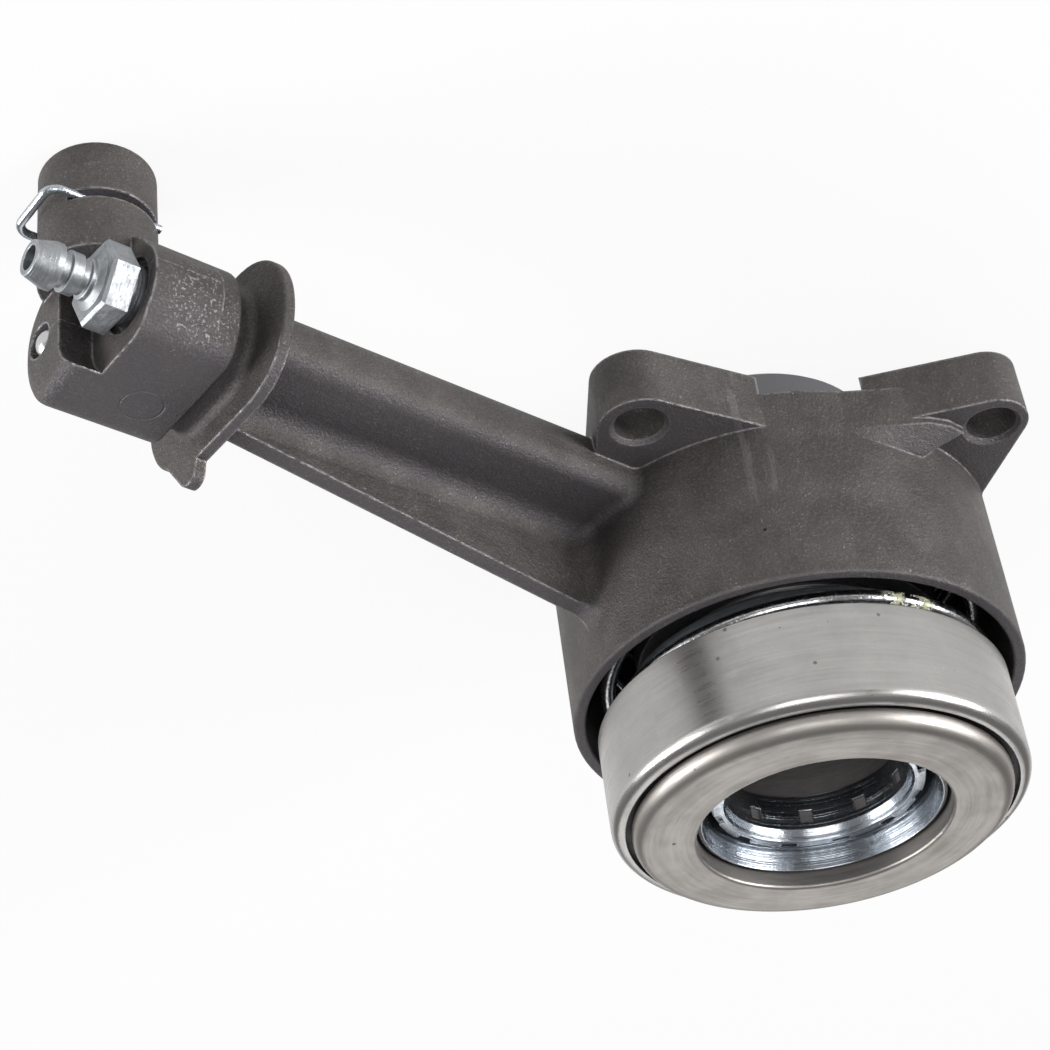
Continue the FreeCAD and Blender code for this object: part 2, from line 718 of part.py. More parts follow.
def housing_head(body):
    """Head with the connector tower, the pocket and the boss of the bleed screw."""
    head = new_sketch(body, "head_outline", "YZ_Plane", "-head_end_x")
    draw_path(head, [
        ("-head_half_width + head_upper_round", "head_top"),
        ("head_half_width - head_upper_round", "head_top", "head_upper_round"),
        ("head_half_width", "head_parting", "head_lower_round"),
        ("head_low_half", "head_low"),
        ("-head_low_half", "head_low", "head_lower_round"),
        ("-head_half_width", "head_parting", "head_upper_round"),
    ])
    padded(body, "head", head, "head_length")
    low, half = value("head_low"), value("head_low_half")
    softened(body, "head_sides", "Fillet", "head_side_round",
             lambda edge: near(edge, z=low) and (near(edge, y=half) or near(edge, y=-half)))
    end, start = value("head_end_x"), value("head_front_x")
    softened(body, "head_edges", "Fillet", "head_edge_round", lambda edge: near(edge, x=-end))
    softened(body, "neck_head_round", "Fillet", "neck_fillet / 2",
             lambda edge: near(edge, x=-start) and inside(edge, "neck"))
    softened(body, "head_shoulder", "Fillet", "neck_fillet / 3",
             lambda edge: near(edge, x=-start) and not inside(edge, "neck"))
    pocket = new_sketch(body, "pocket_outline", "YZ_Plane", "-pocket_floor_x")
    top, corner = "head_top - 1", "pocket_left + 0.3"
    draw_path(pocket, [
        (f"-pocket_left + {corner}", top),
        ("1.3 * head_half_width", top),
        ("1.3 * head_half_width", "head_low + 1"),
        ("pocket_low_y", "head_low + 1", "pocket_low_curve"),
        ("-pocket_left", "pocket_left_low"),
        ("-pocket_left", f"{top} + {corner}", corner),
    ])
    padded(body, "bleed_pocket", pocket, "pocket_depth + 1", kind="Pocket")
    boss = new_sketch(body, "boss_outline", "YZ_Plane", "-pocket_floor_x")
    draw_circle(boss, "bleed_y", "bleed_z", "boss_radius")
    padded(body, "bleed_boss", boss, "boss_length")
    tower = new_sketch(body, "tower_outline", "XY_Plane", "-spigot_end")
    draw_circle(tower, "-tower_x", "0", "tower_radius")
    padded(body, "tower", tower, "spigot_end + tower_foot")


def housing_bores(body):
    """Port, clip slots, bleed thread, drilled galleries and ear holes."""
    port = new_sketch(body, "port_outline", "XY_Plane", "port_depth")
    draw_circle(port, "-tower_x", "0", "port_radius")
    padded(body, "port_bore", port, "spigot_end + port_depth + 1", kind="Pocket")
    for side, sign in (("near", ""), ("far", "-")):
        slot = new_sketch(body, f"slot_{side}_outline", "XZ_Plane", f"-({sign}slot_half_width)")
        draw_path(slot, [
            ("-tower_x - 1.2 * tower_radius", "-slot_low"),
            ("-tower_x + 1.2 * tower_radius", "-slot_low"),
            ("-tower_x + 1.2 * tower_radius", "-slot_high"),
            ("-tower_x - 1.2 * tower_radius", "-slot_high"),
        ])
        padded(body, f"slot_{side}", slot, "tower_radius", back=side == "far", kind="Pocket")
    mouth = new_sketch(body, "boss_mouth_outline", "YZ_Plane", "-pocket_floor_x")
    draw_circle(mouth, "bleed_y", "bleed_z", "boss_mouth_radius")
    padded(body, "boss_mouth", mouth, "boss_mouth_depth", back=True, kind="Pocket")
    thread = new_sketch(body, "bleed_hole_outline", "YZ_Plane", "-pocket_floor_x")
    draw_circle(thread, "bleed_y", "bleed_z", "bleed_hole_radius")
    padded(body, "bleed_hole", thread, "bleed_hole_depth", back=True, kind="Pocket")
    seat = new_sketch(body, "bleed_seat_outline", "YZ_Plane", "-pocket_floor_x + bleed_hole_depth")
    draw_circle(seat, "bleed_y", "bleed_z", "bleed_seat_radius")
    padded(body, "bleed_seat", seat, "bleed_seat_depth", back=True, kind="Pocket")
    feed = new_sketch(body, "feed_outline", "XY_Plane", "feed_depth")
    draw_circle(feed, "-feed_x", "0", "feed_radius")
    padded(body, "feed_drilling", feed, "feed_length + 1", kind="Pocket")
    cross = new_sketch(body, "cross_outline", "XZ_Plane", "-cross_end_y")
    draw_circle(cross, "-cross_x", "head_parting", "gallery_radius")
    padded(body, "cross_gallery", cross, "cross_end_y + head_half_width + 1", back=True, kind="Pocket")
    start = new_sketch(body, "main_gallery_start", "YZ_Plane", "-head_end_x")
    draw_circle(start, "-main_plug_y", "head_parting", "gallery_radius")
    end = new_sketch(body, "main_gallery_end", "YZ_Plane", "-main_end_x")
    draw_circle(end, "-main_end_y", "main_end_z", "gallery_radius")
    gallery = body.newObject("PartDesign::SubtractiveLoft", "main_gallery")
    gallery.Profile = start
    gallery.Sections = [end]
    gallery.Ruled = True
    for name, role, place, across in (
        ("main_plug_seat", "YZ_Plane", "-head_end_x + plug_seat_depth", "-main_plug_y"),
        ("cross_plug_seat", "XZ_Plane", "head_half_width - plug_seat_depth", "-cross_x"),
    ):
        sketch = new_sketch(body, name + "_outline", role, place)
        draw_circle(sketch, across, "head_parting", "plug_radius + press_gap")
        padded(body, name, sketch, "plug_seat_depth + 1", back=role == "XZ_Plane", kind="Pocket")
    for name in EARS:
        sketch = new_sketch(body, name + "_hole_outline", "XY_Plane", "ear_front + 1", name + "_azimuth")
        draw_circle(sketch, "ear_hole_circle", "0", "ear_hole_radius")
        padded(body, name + "_hole", sketch, "ear_front + 2", kind="Pocket")


def housing_machining(body):
    """Annular cavity round the cylinder, the cylinder itself, the seal pocket and the ring groove."""
    turned(body, "cavity", [
        ("tube_outer", "chamber_floor"),
        ("cylinder_radius", "chamber_floor"),
        ("cylinder_radius", "cylinder_front"),
        ("cylinder_outer", "cylinder_front"),
        ("cylinder_outer", "cavity_floor"),
        ("skirt_inner", "cavity_floor"),
        ("skirt_inner", "skirt_front + 1"),
        ("tube_outer", "skirt_front + 1"),
    ], "Groove")
    turned(body, "seal_pocket", [
        ("tube_outer", "-spigot_end - 1"),
        ("seal_pocket_radius", "-spigot_end - 1"),
        ("seal_pocket_radius", "-seal_pocket_floor"),
        ("tube_outer", "-seal_pocket_floor"),
    ], "Groove")
    turned(body, "ring_groove", [
        ("tube_outer", "ring_groove_low"),
        ("ring_groove_radius", "ring_groove_low"),
        ("ring_groove_radius", "ring_groove_low + ring_groove_width"),
        ("tube_outer", "ring_groove_low + ring_groove_width"),
    ], "Groove")


def round_edge(radius, height, x=None):
    """Test for circular edges of a radius at a height, all of them or those about one X place."""
    wanted, level = value(radius), value(height)
    centre = None if x is None else value(x)

    def test(edge):
        circle = edge.Curve
        return (
            circle.TypeId == "Part::GeomCircle"
            and abs(circle.Radius - wanted) < 0.01
            and abs(circle.Center.z - level) < 0.01
            and (centre is None or abs(circle.Center.x - centre) < 0.01)
        )

    return test


def housing_edges(body):
    """Cast rounds and machined chamfers."""
    softened(body, "ear_hole_chamfers", "Chamfer", "ear_hole_chamfer",
             round_edge("ear_hole_radius", "ear_front"))
    softened(body, "port_chamfer", "Chamfer", "port_chamfer",
             round_edge("port_radius", "-spigot_end", "-tower_x"))
    softened(body, "tower_edge", "Fillet", "tower_edge_round",
             round_edge("tower_radius", "-spigot_end", "-tower_x"))
    softened(body, "skirt_rim", "Fillet", "skirt_edge_round",
             lambda edge: round_edge("skirt_radius", "skirt_front", "0")(edge)
             or round_edge("skirt_inner", "skirt_front", "0")(edge))


def housing():
    """One-piece die casting."""
    body = new_part("housing")
    housing_turned(body)
    housing_ears(body)
    housing_ear_edges(body)
    housing_gusset(body)
    housing_arm(body)
    housing_head(body)
    housing_bores(body)
    housing_machining(body)
    housing_edges(body)
    return body


def ball_plugs():
    """Two balls pressed into the drilled ends of the galleries."""
    body = new_part("gallery_plug_balls")
    ball(body, "main_plug", "AdditiveSphere", "plug_radius",
         "-head_end_x + plug_sink", "-main_plug_y", "head_parting")
    ball(body, "cross_plug", "AdditiveSphere", "plug_radius",
         "-cross_x", "-head_half_width + plug_sink", "head_parting")


def guide_parts():
    """Guide tube with its ring seal and the stop ring in its front end."""
    tube = new_part("guide_tube")
    turned(tube, "tube", [
        ("tube_inner", "-seal_pocket_floor - tube_flange_thick"),
        ("tube_flange_radius", "-seal_pocket_floor - tube_flange_thick"),
        ("tube_flange_radius", "-seal_pocket_floor"),
        ("tube_outer", "-seal_pocket_floor"),
        ("tube_outer", "tube_front"),
        ("tube_inner", "tube_front"),
    ])
    seal = new_part("guide_tube_o_ring")
    ring_of_wire(seal, "ring", "tube_outer + press_gap + ring_section",
                 "ring_groove_low + ring_groove_width / 2", "ring_section")
    stop = new_part("stop_ring")
    outer = "tube_inner - press_gap"
    rear, tab = "tube_front - stop_length", "tube_outer + stop_tab_reach"
    turned(stop, "sleeve", [
        (f"{outer} - stop_wall", rear),
        (outer, rear),
        (outer, "tube_front"),
        ("tube_outer", "stop_tab_back"),
        (tab, "stop_tab_back"),
        (tab, "stop_front"),
        ("tube_inner + 2 * stack_gap", "stop_front"),
        ("tube_inner", "stop_tab_back - stack_gap"),
        (f"{outer} - stop_throat_wall", "tube_front - 2 * stack_gap"),
    ])
    notch = new_sketch(stop, "notch_outline", "XY_Plane", "stop_front + 1", "stop_notch_phase")
    half = "stop_notch_width / 2"
    draw_path(notch, [
        ("tube_outer - stack_gap", f"-{half}"),
        (f"{tab} + 1", f"-{half}"),
        (f"{tab} + 1", half),
        ("tube_outer - stack_gap", half),
    ])
    cut = padded(stop, "notch", notch, "stop_front - stop_tab_back + 1.5", kind="Pocket")
    around(stop, "notches", cut, "stop_tab_count")
    window = new_sketch(stop, "window_outline", "XY_Plane",
                        "tube_front - stop_window_inset + stop_window_size / 2", "stop_window_phase")
    side = "stop_window_size / 2"
    draw_path(window, [
        (f"{outer} - 2 * stop_wall", f"-{side}"),
        ("tube_outer", f"-{side}"),
        ("tube_outer", side),
        (f"{outer} - 2 * stop_wall", side),
    ])
    opening = padded(stop, "window", window, "stop_window_size", kind="Pocket")
    around(stop, "windows", opening, "stop_window_count")


def shaft_seal():
    """Radial shaft seal in the spigot: case, rubber lip and garter spring."""
    outer = "seal_pocket_radius - press_gap"
    front = "-seal_pocket_floor - tube_flange_thick - stack_gap"
    case = new_part("shaft_seal_case")
    turned(case, "case", [
        ("seal_case_inner", f"{front} - seal_case_wall"),
        (f"{outer} - seal_case_wall", f"{front} - seal_case_wall"),
        (f"{outer} - seal_case_wall", "-seal_case_rear"),
        (outer, "-seal_case_rear"),
        (outer, front),
        ("seal_case_inner", front),
    ])
    lip = new_part("shaft_seal_lip")
    back = f"{front} - seal_case_wall - press_gap"
    root = f"{outer} - seal_case_wall - 1.2"
    turned(lip, "lip", [
        ("seal_lip_radius", "-garter_height - seal_lip_land / 2"),
        ("seal_lip_radius + 0.8", "-seal_lip_rear"),
        ("garter_radius - garter_section", "-seal_lip_rear"),
        ("garter_radius - garter_section - 0.1", "-garter_height + garter_section + 0.6"),
        (root, f"{back} - 1.2"),
        (root, "-seal_case_rear"),
        (f"{outer} - seal_case_wall - press_gap", "-seal_case_rear"),
        (f"{outer} - seal_case_wall - press_gap", back),
        ("seal_lip_radius + 1.6", back),
        ("seal_lip_radius", "-garter_height + seal_lip_land / 2"),
    ])
    garter = new_part("shaft_seal_garter_spring")
    ring_of_wire(garter, "garter", "garter_radius + stack_gap / 2", "-garter_height", "garter_section")


def piston_parts():
    """Annular piston, its backing ring and its lip seal."""
    inner = "tube_outer + running_gap"
    outer = "cylinder_radius - running_gap"
    waist = f"{outer} - piston_relief_depth"
    rear, front = "piston_rear + piston_relief_land", "piston_front - piston_relief_land"
    piston = new_part("piston")
    turned(piston, "piston_body", [
        (inner, "piston_rear"),
        (outer, "piston_rear"),
        (outer, rear),
        (waist, f"{rear} + piston_relief_depth"),
        (waist, f"{front} - piston_relief_depth"),
        (outer, front),
        (outer, "piston_front"),
        ("piston_nose_radius", "piston_front"),
        ("piston_nose_radius", "piston_nose_front"),
        (inner, "piston_nose_front"),
    ])
    ring = new_part("seal_support_ring")
    ring_front = "piston_rear - stack_gap"
    ring_back = "piston_rear - stack_gap - support_ring_thick"
    turned(ring, "backing", [
        ("tube_outer + lip_seal_gap", ring_back),
        ("cylinder_radius - lip_seal_gap", ring_back),
        ("cylinder_radius - lip_seal_gap", ring_front),
        ("tube_outer + lip_seal_gap", ring_front),
    ])
    seal = new_part("piston_lip_seal")
    front = f"{ring_back} - stack_gap"
    rear = f"{front} - lip_seal_length"
    middle = "(tube_outer + cylinder_radius) / 2"
    turned(seal, "seal", [
        ("tube_outer + lip_seal_gap", rear),
        ("tube_outer + 3.8 * lip_seal_gap", rear),
        (f"{middle} - 2 * lip_seal_gap", f"{rear} + lip_seal_groove"),
        (f"{middle} + 2 * lip_seal_gap", f"{rear} + lip_seal_groove"),
        ("cylinder_radius - 3.8 * lip_seal_gap", rear),
        ("cylinder_radius - lip_seal_gap", rear),
        ("cylinder_radius - lip_seal_gap", f"{rear} + 0.2 * lip_seal_length"),
        ("cylinder_radius - 2 * lip_seal_gap", f"{front} - lip_seal_web"),
        ("cylinder_radius - 2 * lip_seal_gap", front),
        ("tube_outer + 2 * lip_seal_gap", front),
        ("tube_outer + 2 * lip_seal_gap", f"{front} - lip_seal_web"),
        ("tube_outer + lip_seal_gap", f"{rear} + 0.2 * lip_seal_length"),
    ])


def preload_parts():
    """Spring seat on the cavity floor, preload spring and the cup that it pushes."""
    seat = new_part("spring_seat")
    seat_inner, seat_outer = "cylinder_outer + spring_seat_gap", "skirt_inner - spring_seat_margin"
    seat_front, rim_front = "cavity_floor + spring_seat_thick", "cavity_floor + spring_seat_rim"
    turned(seat, "seat", [
        (seat_inner, "cavity_floor + press_gap"),
        (seat_outer, "cavity_floor + press_gap"),
        (seat_outer, seat_front),
        (f"{seat_inner} + spring_seat_thick", seat_front),
        (f"{seat_inner} + spring_seat_thick", rim_front),
        (seat_inner, rim_front),
    ])
    spring = new_part("preload_spring")
    wire = new_sketch(spring, "wire", "XZ_Plane")
    draw_circle(wire, "spring_radius", "spring_rear + spring_wire", "spring_wire")
    path = doc.addObject("Part::Helix", "coil_path")
    attach(spring, path, "XY_Plane", "spring_rear + spring_wire")
    path.setExpression("Radius", sized("spring_radius"))
    path.setExpression("Height", sized(SPRING_RISE))
    path.setExpression("Pitch", sized(f"({SPRING_RISE}) / spring_turns"))
    path.SegmentLength = 0.5
    doc.recompute()
    coil = spring.newObject("PartDesign::AdditivePipe", "coil")
    coil.Profile = wire
    coil.Spine = (path, [f"Edge{i}" for i in range(1, len(path.Shape.Edges) + 1)])
    coil.Mode = "Frenet"
    cup = new_part("spring_cup")
    turned(cup, "cup", [
        ("cup_hub_inner", "cup_back - cup_hub_length"),
        ("cup_hub_outer", "cup_back - cup_hub_length"),
        ("cup_hub_outer", "cup_back"),
        ("rim_radius", "cup_back"),
        ("rim_radius", "cup_front"),
        ("cup_hub_inner", "cup_front"),
    ])


def carrier_parts():
    """Pressed carrier on the piston, which holds the bearing, and the centring spring."""
    lip = "thrust_hole - carrier_lip_gap"
    lip_front = "thrust_face - carrier_lip_setback"
    carrier = new_part("bearing_carrier")
    turned(carrier, "carrier", [
        ("carrier_sleeve", "carrier_back"),
        ("rim_radius", "carrier_back"),
        ("rim_radius", "carrier_front"),
        ("carrier_sleeve + carrier_thick", "carrier_front"),
        ("carrier_sleeve + carrier_thick", "carrier_web + carrier_thick"),
        ("carrier_hole + carrier_thick", "carrier_web + carrier_thick"),
        (lip, f"{lip_front} - carrier_lip_wall / 2"),
        (f"{lip} - carrier_lip_wall", lip_front),
        ("carrier_hole", "carrier_web + 1.5 * carrier_thick"),
        ("carrier_hole", "carrier_web"),
        ("carrier_sleeve", "carrier_web"),
    ])
    disc = new_part("centring_disc_spring")
    inner, outer = "race_inner - centring_margin", "rim_radius - centring_margin"
    turned(disc, "disc", [
        (inner, "centring_back + centring_rise"),
        (outer, "centring_back"),
        (outer, "centring_back + centring_thick"),
        (inner, "centring_back + centring_rise + centring_thick"),
    ])


def bearing_parts():
    """Release bearing: fixed race, shell, seals, balls in their cage and the turning thrust ring."""
    race = new_part("bearing_outer_ring")
    turned(race, "race", [
        ("race_inner", "race_back"),
        ("race_outer", "race_back"),
        ("race_outer", "race_front"),
        ("race_wall_inner", "race_front"),
        ("race_wall_inner", "race_web_front + race_corner"),
        ("race_wall_inner - race_corner", "race_web_front"),
        ("race_inner", "race_web_front"),
    ])
    ring_of_wire(race, "race_groove", "ball_circle", "ball_height", "groove_radius", "Groove")
    shell = new_part("bearing_shell")
    rear = "cup_back - shell_rear_lap"
    turned(shell, "shell", [
        ("shell_inner", rear),
        ("shell_radius", rear),
        ("shell_radius", "shell_front - shell_round", "shell_round"),
        ("shell_radius - shell_round", "shell_front"),
        ("shell_opening", "shell_front"),
        ("shell_opening", "shell_front - shell_wall"),
        ("shell_radius - shell_round", "shell_front - shell_wall", "shell_round - shell_wall", "hollow"),
        ("shell_inner", "shell_front - shell_round"),
    ])
    front_seal = new_part("bearing_front_seal")
    seal_inner, seal_back = "thrust_collar_radius + ball_gap", "race_front + seal_clearance"
    seal_front = "shell_front - shell_wall - stack_gap / 2"
    turned(front_seal, "front_seal", [
        (seal_inner, seal_back),
        ("shell_inner - 3 * stack_gap", seal_back),
        ("shell_opening", seal_front),
        (seal_inner, seal_front),
    ])
    rear_seal = new_part("bearing_rear_seal")
    seal_inner = "race_inner - rear_seal_width"
    lip = f"{seal_inner} + rear_seal_lip_width"
    seal_front = "race_web_front - stack_gap"
    turned(rear_seal, "rear_seal", [
        (seal_inner, "race_back + stack_gap"),
        ("race_inner - press_gap", "race_back + stack_gap"),
        ("race_inner - press_gap", seal_front),
        (lip, seal_front),
        (lip, "thrust_hub_rear - rear_seal_lip_width"),
        (seal_inner, "thrust_hub_rear - rear_seal_lip_width"),
    ])
    balls = new_part("bearing_balls")
    one = ball(balls, "bearing_ball", "AdditiveSphere", "ball_radius", "ball_circle", "0", "ball_height")
    around(balls, "ball_ring", one, "ball_count")
    cage = new_part("ball_cage")
    cage_outer = "race_wall_inner - cage_gap"
    cage_rear = "race_web_front + race_corner"
    cage_front = "ball_height + ball_radius + stack_gap + cage_land"
    turned(cage, "cage_band", [
        (f"{cage_outer} - cage_thick", cage_rear),
        (cage_outer, cage_rear),
        (cage_outer, cage_front),
        (f"{cage_outer} - cage_thick", cage_front),
    ])
    pocket = ball(cage, "ball_pocket", "SubtractiveSphere", "ball_radius + stack_gap",
                  "ball_circle", "0", "ball_height")
    around(cage, "ball_pockets", pocket, "ball_count")
    thrust = new_part("thrust_ring")
    turned(thrust, "thrust_body", [
        ("thrust_hole", "thrust_hub_rear"),
        ("race_inner", "thrust_hub_rear"),
        ("thrust_collar_radius", "ball_height + thrust_collar_rise"),
        ("thrust_collar_radius", "thrust_flange_rear"),
        ("thrust_radius", "thrust_flange_rear"),
        ("thrust_radius", "thrust_face - thrust_edge_round", "thrust_edge_round"),
        ("thrust_radius - thrust_edge_round", "thrust_face"),
        ("thrust_hole + thrust_hole_round", "thrust_face", "thrust_hole_round"),
        ("thrust_hole", "thrust_face - thrust_hole_round"),
    ])
    ring_of_wire(thrust, "thrust_groove", "ball_circle", "ball_height", "groove_radius", "Groove")


def retaining_clip():
    """Wire clip whose two legs lie in the tower's slots and hold the connector."""
    body = new_part("retaining_clip")
    path = new_sketch(body, "clip_path", "XY_Plane", "-clip_height")
    draw_path(path, [
        ("-clip_tip_x", "clip_half_width"),
        ("-clip_bow_x + clip_bend", "clip_half_width", "clip_bend"),
        ("-clip_bow_x", "clip_half_width - clip_bend"),
        ("-clip_bow_x", "-clip_half_width + clip_bend", "clip_bend"),
        ("-clip_bow_x + clip_bend", "-clip_half_width"),
        ("-clip_tip_x", "-clip_half_width"),
    ], closed=False)
    section = new_sketch(body, "clip_section", "YZ_Plane", "-clip_tip_x")
    draw_circle(section, "clip_half_width", "-clip_height", "clip_wire")
    pipe = body.newObject("PartDesign::AdditivePipe", "clip_wire_sweep")
    pipe.Profile = section
    pipe.Spine = (path, [])


def bleed_screw():
    """Bleed screw with its seat cone, hexagon and hose barb, made along its own axis."""
    body = new_part("bleed_screw")
    tip = "-bleed_hole_depth - screw_seat_bite"
    bore_end = "screw_length - screw_bore_depth"
    hex_top = "screw_shoulder + screw_hex_height"
    barb_base = "screw_length - screw_barb_length"
    groove = "screw_neck_radius - screw_groove_depth"
    turned(body, "screw_turned", [
        ("screw_tip_radius", tip),
        ("screw_stem_radius - screw_stem_chamfer", f"{tip} + screw_cone_length"),
        ("screw_stem_radius", f"{tip} + screw_cone_length + screw_stem_chamfer"),
        ("screw_stem_radius", f"{hex_top} - 0.2"),
        ("screw_neck_radius", f"{hex_top} + 0.6"),
        ("screw_neck_radius", f"{hex_top} + 1.2"),
        (groove, f"{hex_top} + 1.4"),
        (groove, f"{hex_top} + 1.4 + screw_groove_width"),
        ("screw_neck_radius", f"{hex_top} + 1.6 + screw_groove_width"),
        ("screw_neck_radius", f"{barb_base} - 1.1"),
        (groove, f"{barb_base} - 0.9"),
        (groove, barb_base),
        ("screw_barb_radius", f"{barb_base} + 0.2"),
        ("screw_barb_radius", f"{barb_base} + 1.0"),
        ("screw_end_radius", "screw_length"),
        ("screw_bore_radius", "screw_length"),
        ("screw_bore_radius", bore_end),
        ("screw_tip_radius", f"{bore_end} - 0.6"),
    ])
    hexagon = new_sketch(body, "hexagon", "XY_Plane", "screw_shoulder", "screw_hex_turn")
    across = "screw_hex_flats / 2 / cos(30)"
    draw_path(hexagon, [(f"{across} * cos({60 * k})", f"{across} * sin({60 * k})") for k in range(6)])
    draw_circle(hexagon, "0", "0", "screw_neck_radius")
    padded(body, "screw_hexagon", hexagon, "screw_hex_height")
    level = value(hex_top)
    reach = value("screw_hex_flats / 2")
    softened(body, "hexagon_edges", "Chamfer", "screw_hex_chamfer",
             lambda edge: near(edge, z=level) and edge.Curve.TypeId == "Part::GeomLine"
             and edge.Length > 0.5 * reach)
    body.Placement = FreeCAD.Placement(
        FreeCAD.Vector(-value("pocket_floor_x"), value("bleed_y"), value("bleed_z")),
        FreeCAD.Rotation(FreeCAD.Vector(0, 1, 0), -90),
    )
    body.setExpression("Placement.Base.x", sized("-pocket_floor_x"))
    body.setExpression("Placement.Base.y", sized("bleed_y"))
    body.setExpression("Placement.Base.z", sized("bleed_z"))


housing()
ball_plugs()
guide_parts()
shaft_seal()
piston_parts()
preload_parts()
carrier_parts()
bearing_parts()
retaining_clip()
bleed_screw()
doc.recompute()

faults = [item.Name for item in doc.Objects if {"Invalid", "Error"} & set(item.State)]
for part in parts:
    if part.Shape.isNull() or not part.Shape.isValid() or not part.Shape.Solids:
        faults.append(part.Label)
if faults:
    raise RuntimeError("not built: " + ", ".join(faults))

os.makedirs("parts", exist_ok=True)
for part in parts:
    part.Shape.exportStep(f"parts/{part.Label}.step")
    print(part.Label, len(part.Shape.Solids), round(part.Shape.Volume, 1))
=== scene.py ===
import logging
import math
from dataclasses import dataclass, field
from enum import Enum

import bmesh
import bpy
from mathutils import Matrix, Vector


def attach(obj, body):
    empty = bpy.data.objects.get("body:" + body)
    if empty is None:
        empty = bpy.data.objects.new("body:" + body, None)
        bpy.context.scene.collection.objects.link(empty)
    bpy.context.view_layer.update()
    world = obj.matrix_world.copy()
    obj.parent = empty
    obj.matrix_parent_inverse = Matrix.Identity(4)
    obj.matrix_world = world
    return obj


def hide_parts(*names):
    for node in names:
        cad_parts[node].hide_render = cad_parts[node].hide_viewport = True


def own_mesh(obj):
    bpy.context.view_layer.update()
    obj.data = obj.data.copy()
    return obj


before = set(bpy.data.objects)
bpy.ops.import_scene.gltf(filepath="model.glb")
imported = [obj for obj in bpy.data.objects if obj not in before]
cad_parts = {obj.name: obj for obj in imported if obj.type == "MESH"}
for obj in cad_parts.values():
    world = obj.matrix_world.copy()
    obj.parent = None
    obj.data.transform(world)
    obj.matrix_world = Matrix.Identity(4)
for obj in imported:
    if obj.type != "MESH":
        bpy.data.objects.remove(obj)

log = logging.getLogger("slave_cylinder")

Colour = tuple[float, float, float]
Point = tuple[float, float, float]
Band = tuple[float, float]

MILLIMETRES = 1000.0
BROAD: Band = (0.36, 0.66)
SPECK_EDGE = 0.02
EDGE_BAND: Band = (0.01, 0.2)
BEVEL_SAMPLES = 6

SHELL_PITS = (
    (-26.73, 12.94, 38.08),
    (-12.04, 27.15, 39.48),
    (-20.32, 21.66, 46.48),
    (-27.44, 11.36, 42.03),
    (-28.74, -7.48, 50.31),
)
THRUST_RING_PITS = ((-16.6, -13.5, 55.0), (-26.2, 2.5, 54.0))


class Turning(Enum):
    """Axis about which a piece was turned."""

    BEARING = "bearing"
    SCREW = "screw"


class Signal:
    """Output socket whose arithmetic adds the nodes that work it out."""

    def __init__(self, graph: "Graph", socket: bpy.types.NodeSocket) -> None:
        """Wrap a socket of a graph."""
        self.graph = graph
        self.socket = socket

    def _maths(self, operation: str, *values: "Signal | float") -> "Signal":
        """Add a Math node.

        Args:
            operation: the node's operation.
            values: its operands in order.

        Returns:
            The node's result.
        """
        return self.graph.node("ShaderNodeMath", {"operation": operation}, dict(enumerate(values)))

    def __add__(self, other: "Signal | float") -> "Signal":
        """Add a value."""
        return self._maths("ADD", self, other)

    __radd__ = __add__

    def __sub__(self, other: "Signal | float") -> "Signal":
        """Take a value away."""
        return self._maths("SUBTRACT", self, other)

    def __rsub__(self, other: "Signal | float") -> "Signal":
        """Take this away from a value."""
        return self._maths("SUBTRACT", other, self)

    def __mul__(self, other: "Signal | float") -> "Signal":
        """Multiply by a value."""
        return self._maths("MULTIPLY", self, other)

    __rmul__ = __mul__

    def __pow__(self, other: "Signal | float") -> "Signal":
        """Raise to a power."""
        return self._maths("POWER", self, other)

    def __abs__(self) -> "Signal":
        """Size without sign."""
        return self._maths("ABSOLUTE", self)

    def largest(self, other: "Signal | float") -> "Signal":
        """Keep the larger of this and a value."""
        return self._maths("MAXIMUM", self, other)

    def within(self, low: float, high: float) -> "Signal":
        """Go smoothly from 0 to 1 over a band.

        Args:
            low: where the result is 0; it may be the larger of the two.
            high: where the result is 1.

        Returns:
            The mask.
        """
        return self.graph.node(
            "ShaderNodeMapRange",
            {"interpolation_type": "SMOOTHSTEP", "clamp": True},
            {"Value": self, "From Min": low, "From Max": high, "To Min": 0.0, "To Max": 1.0},
        )


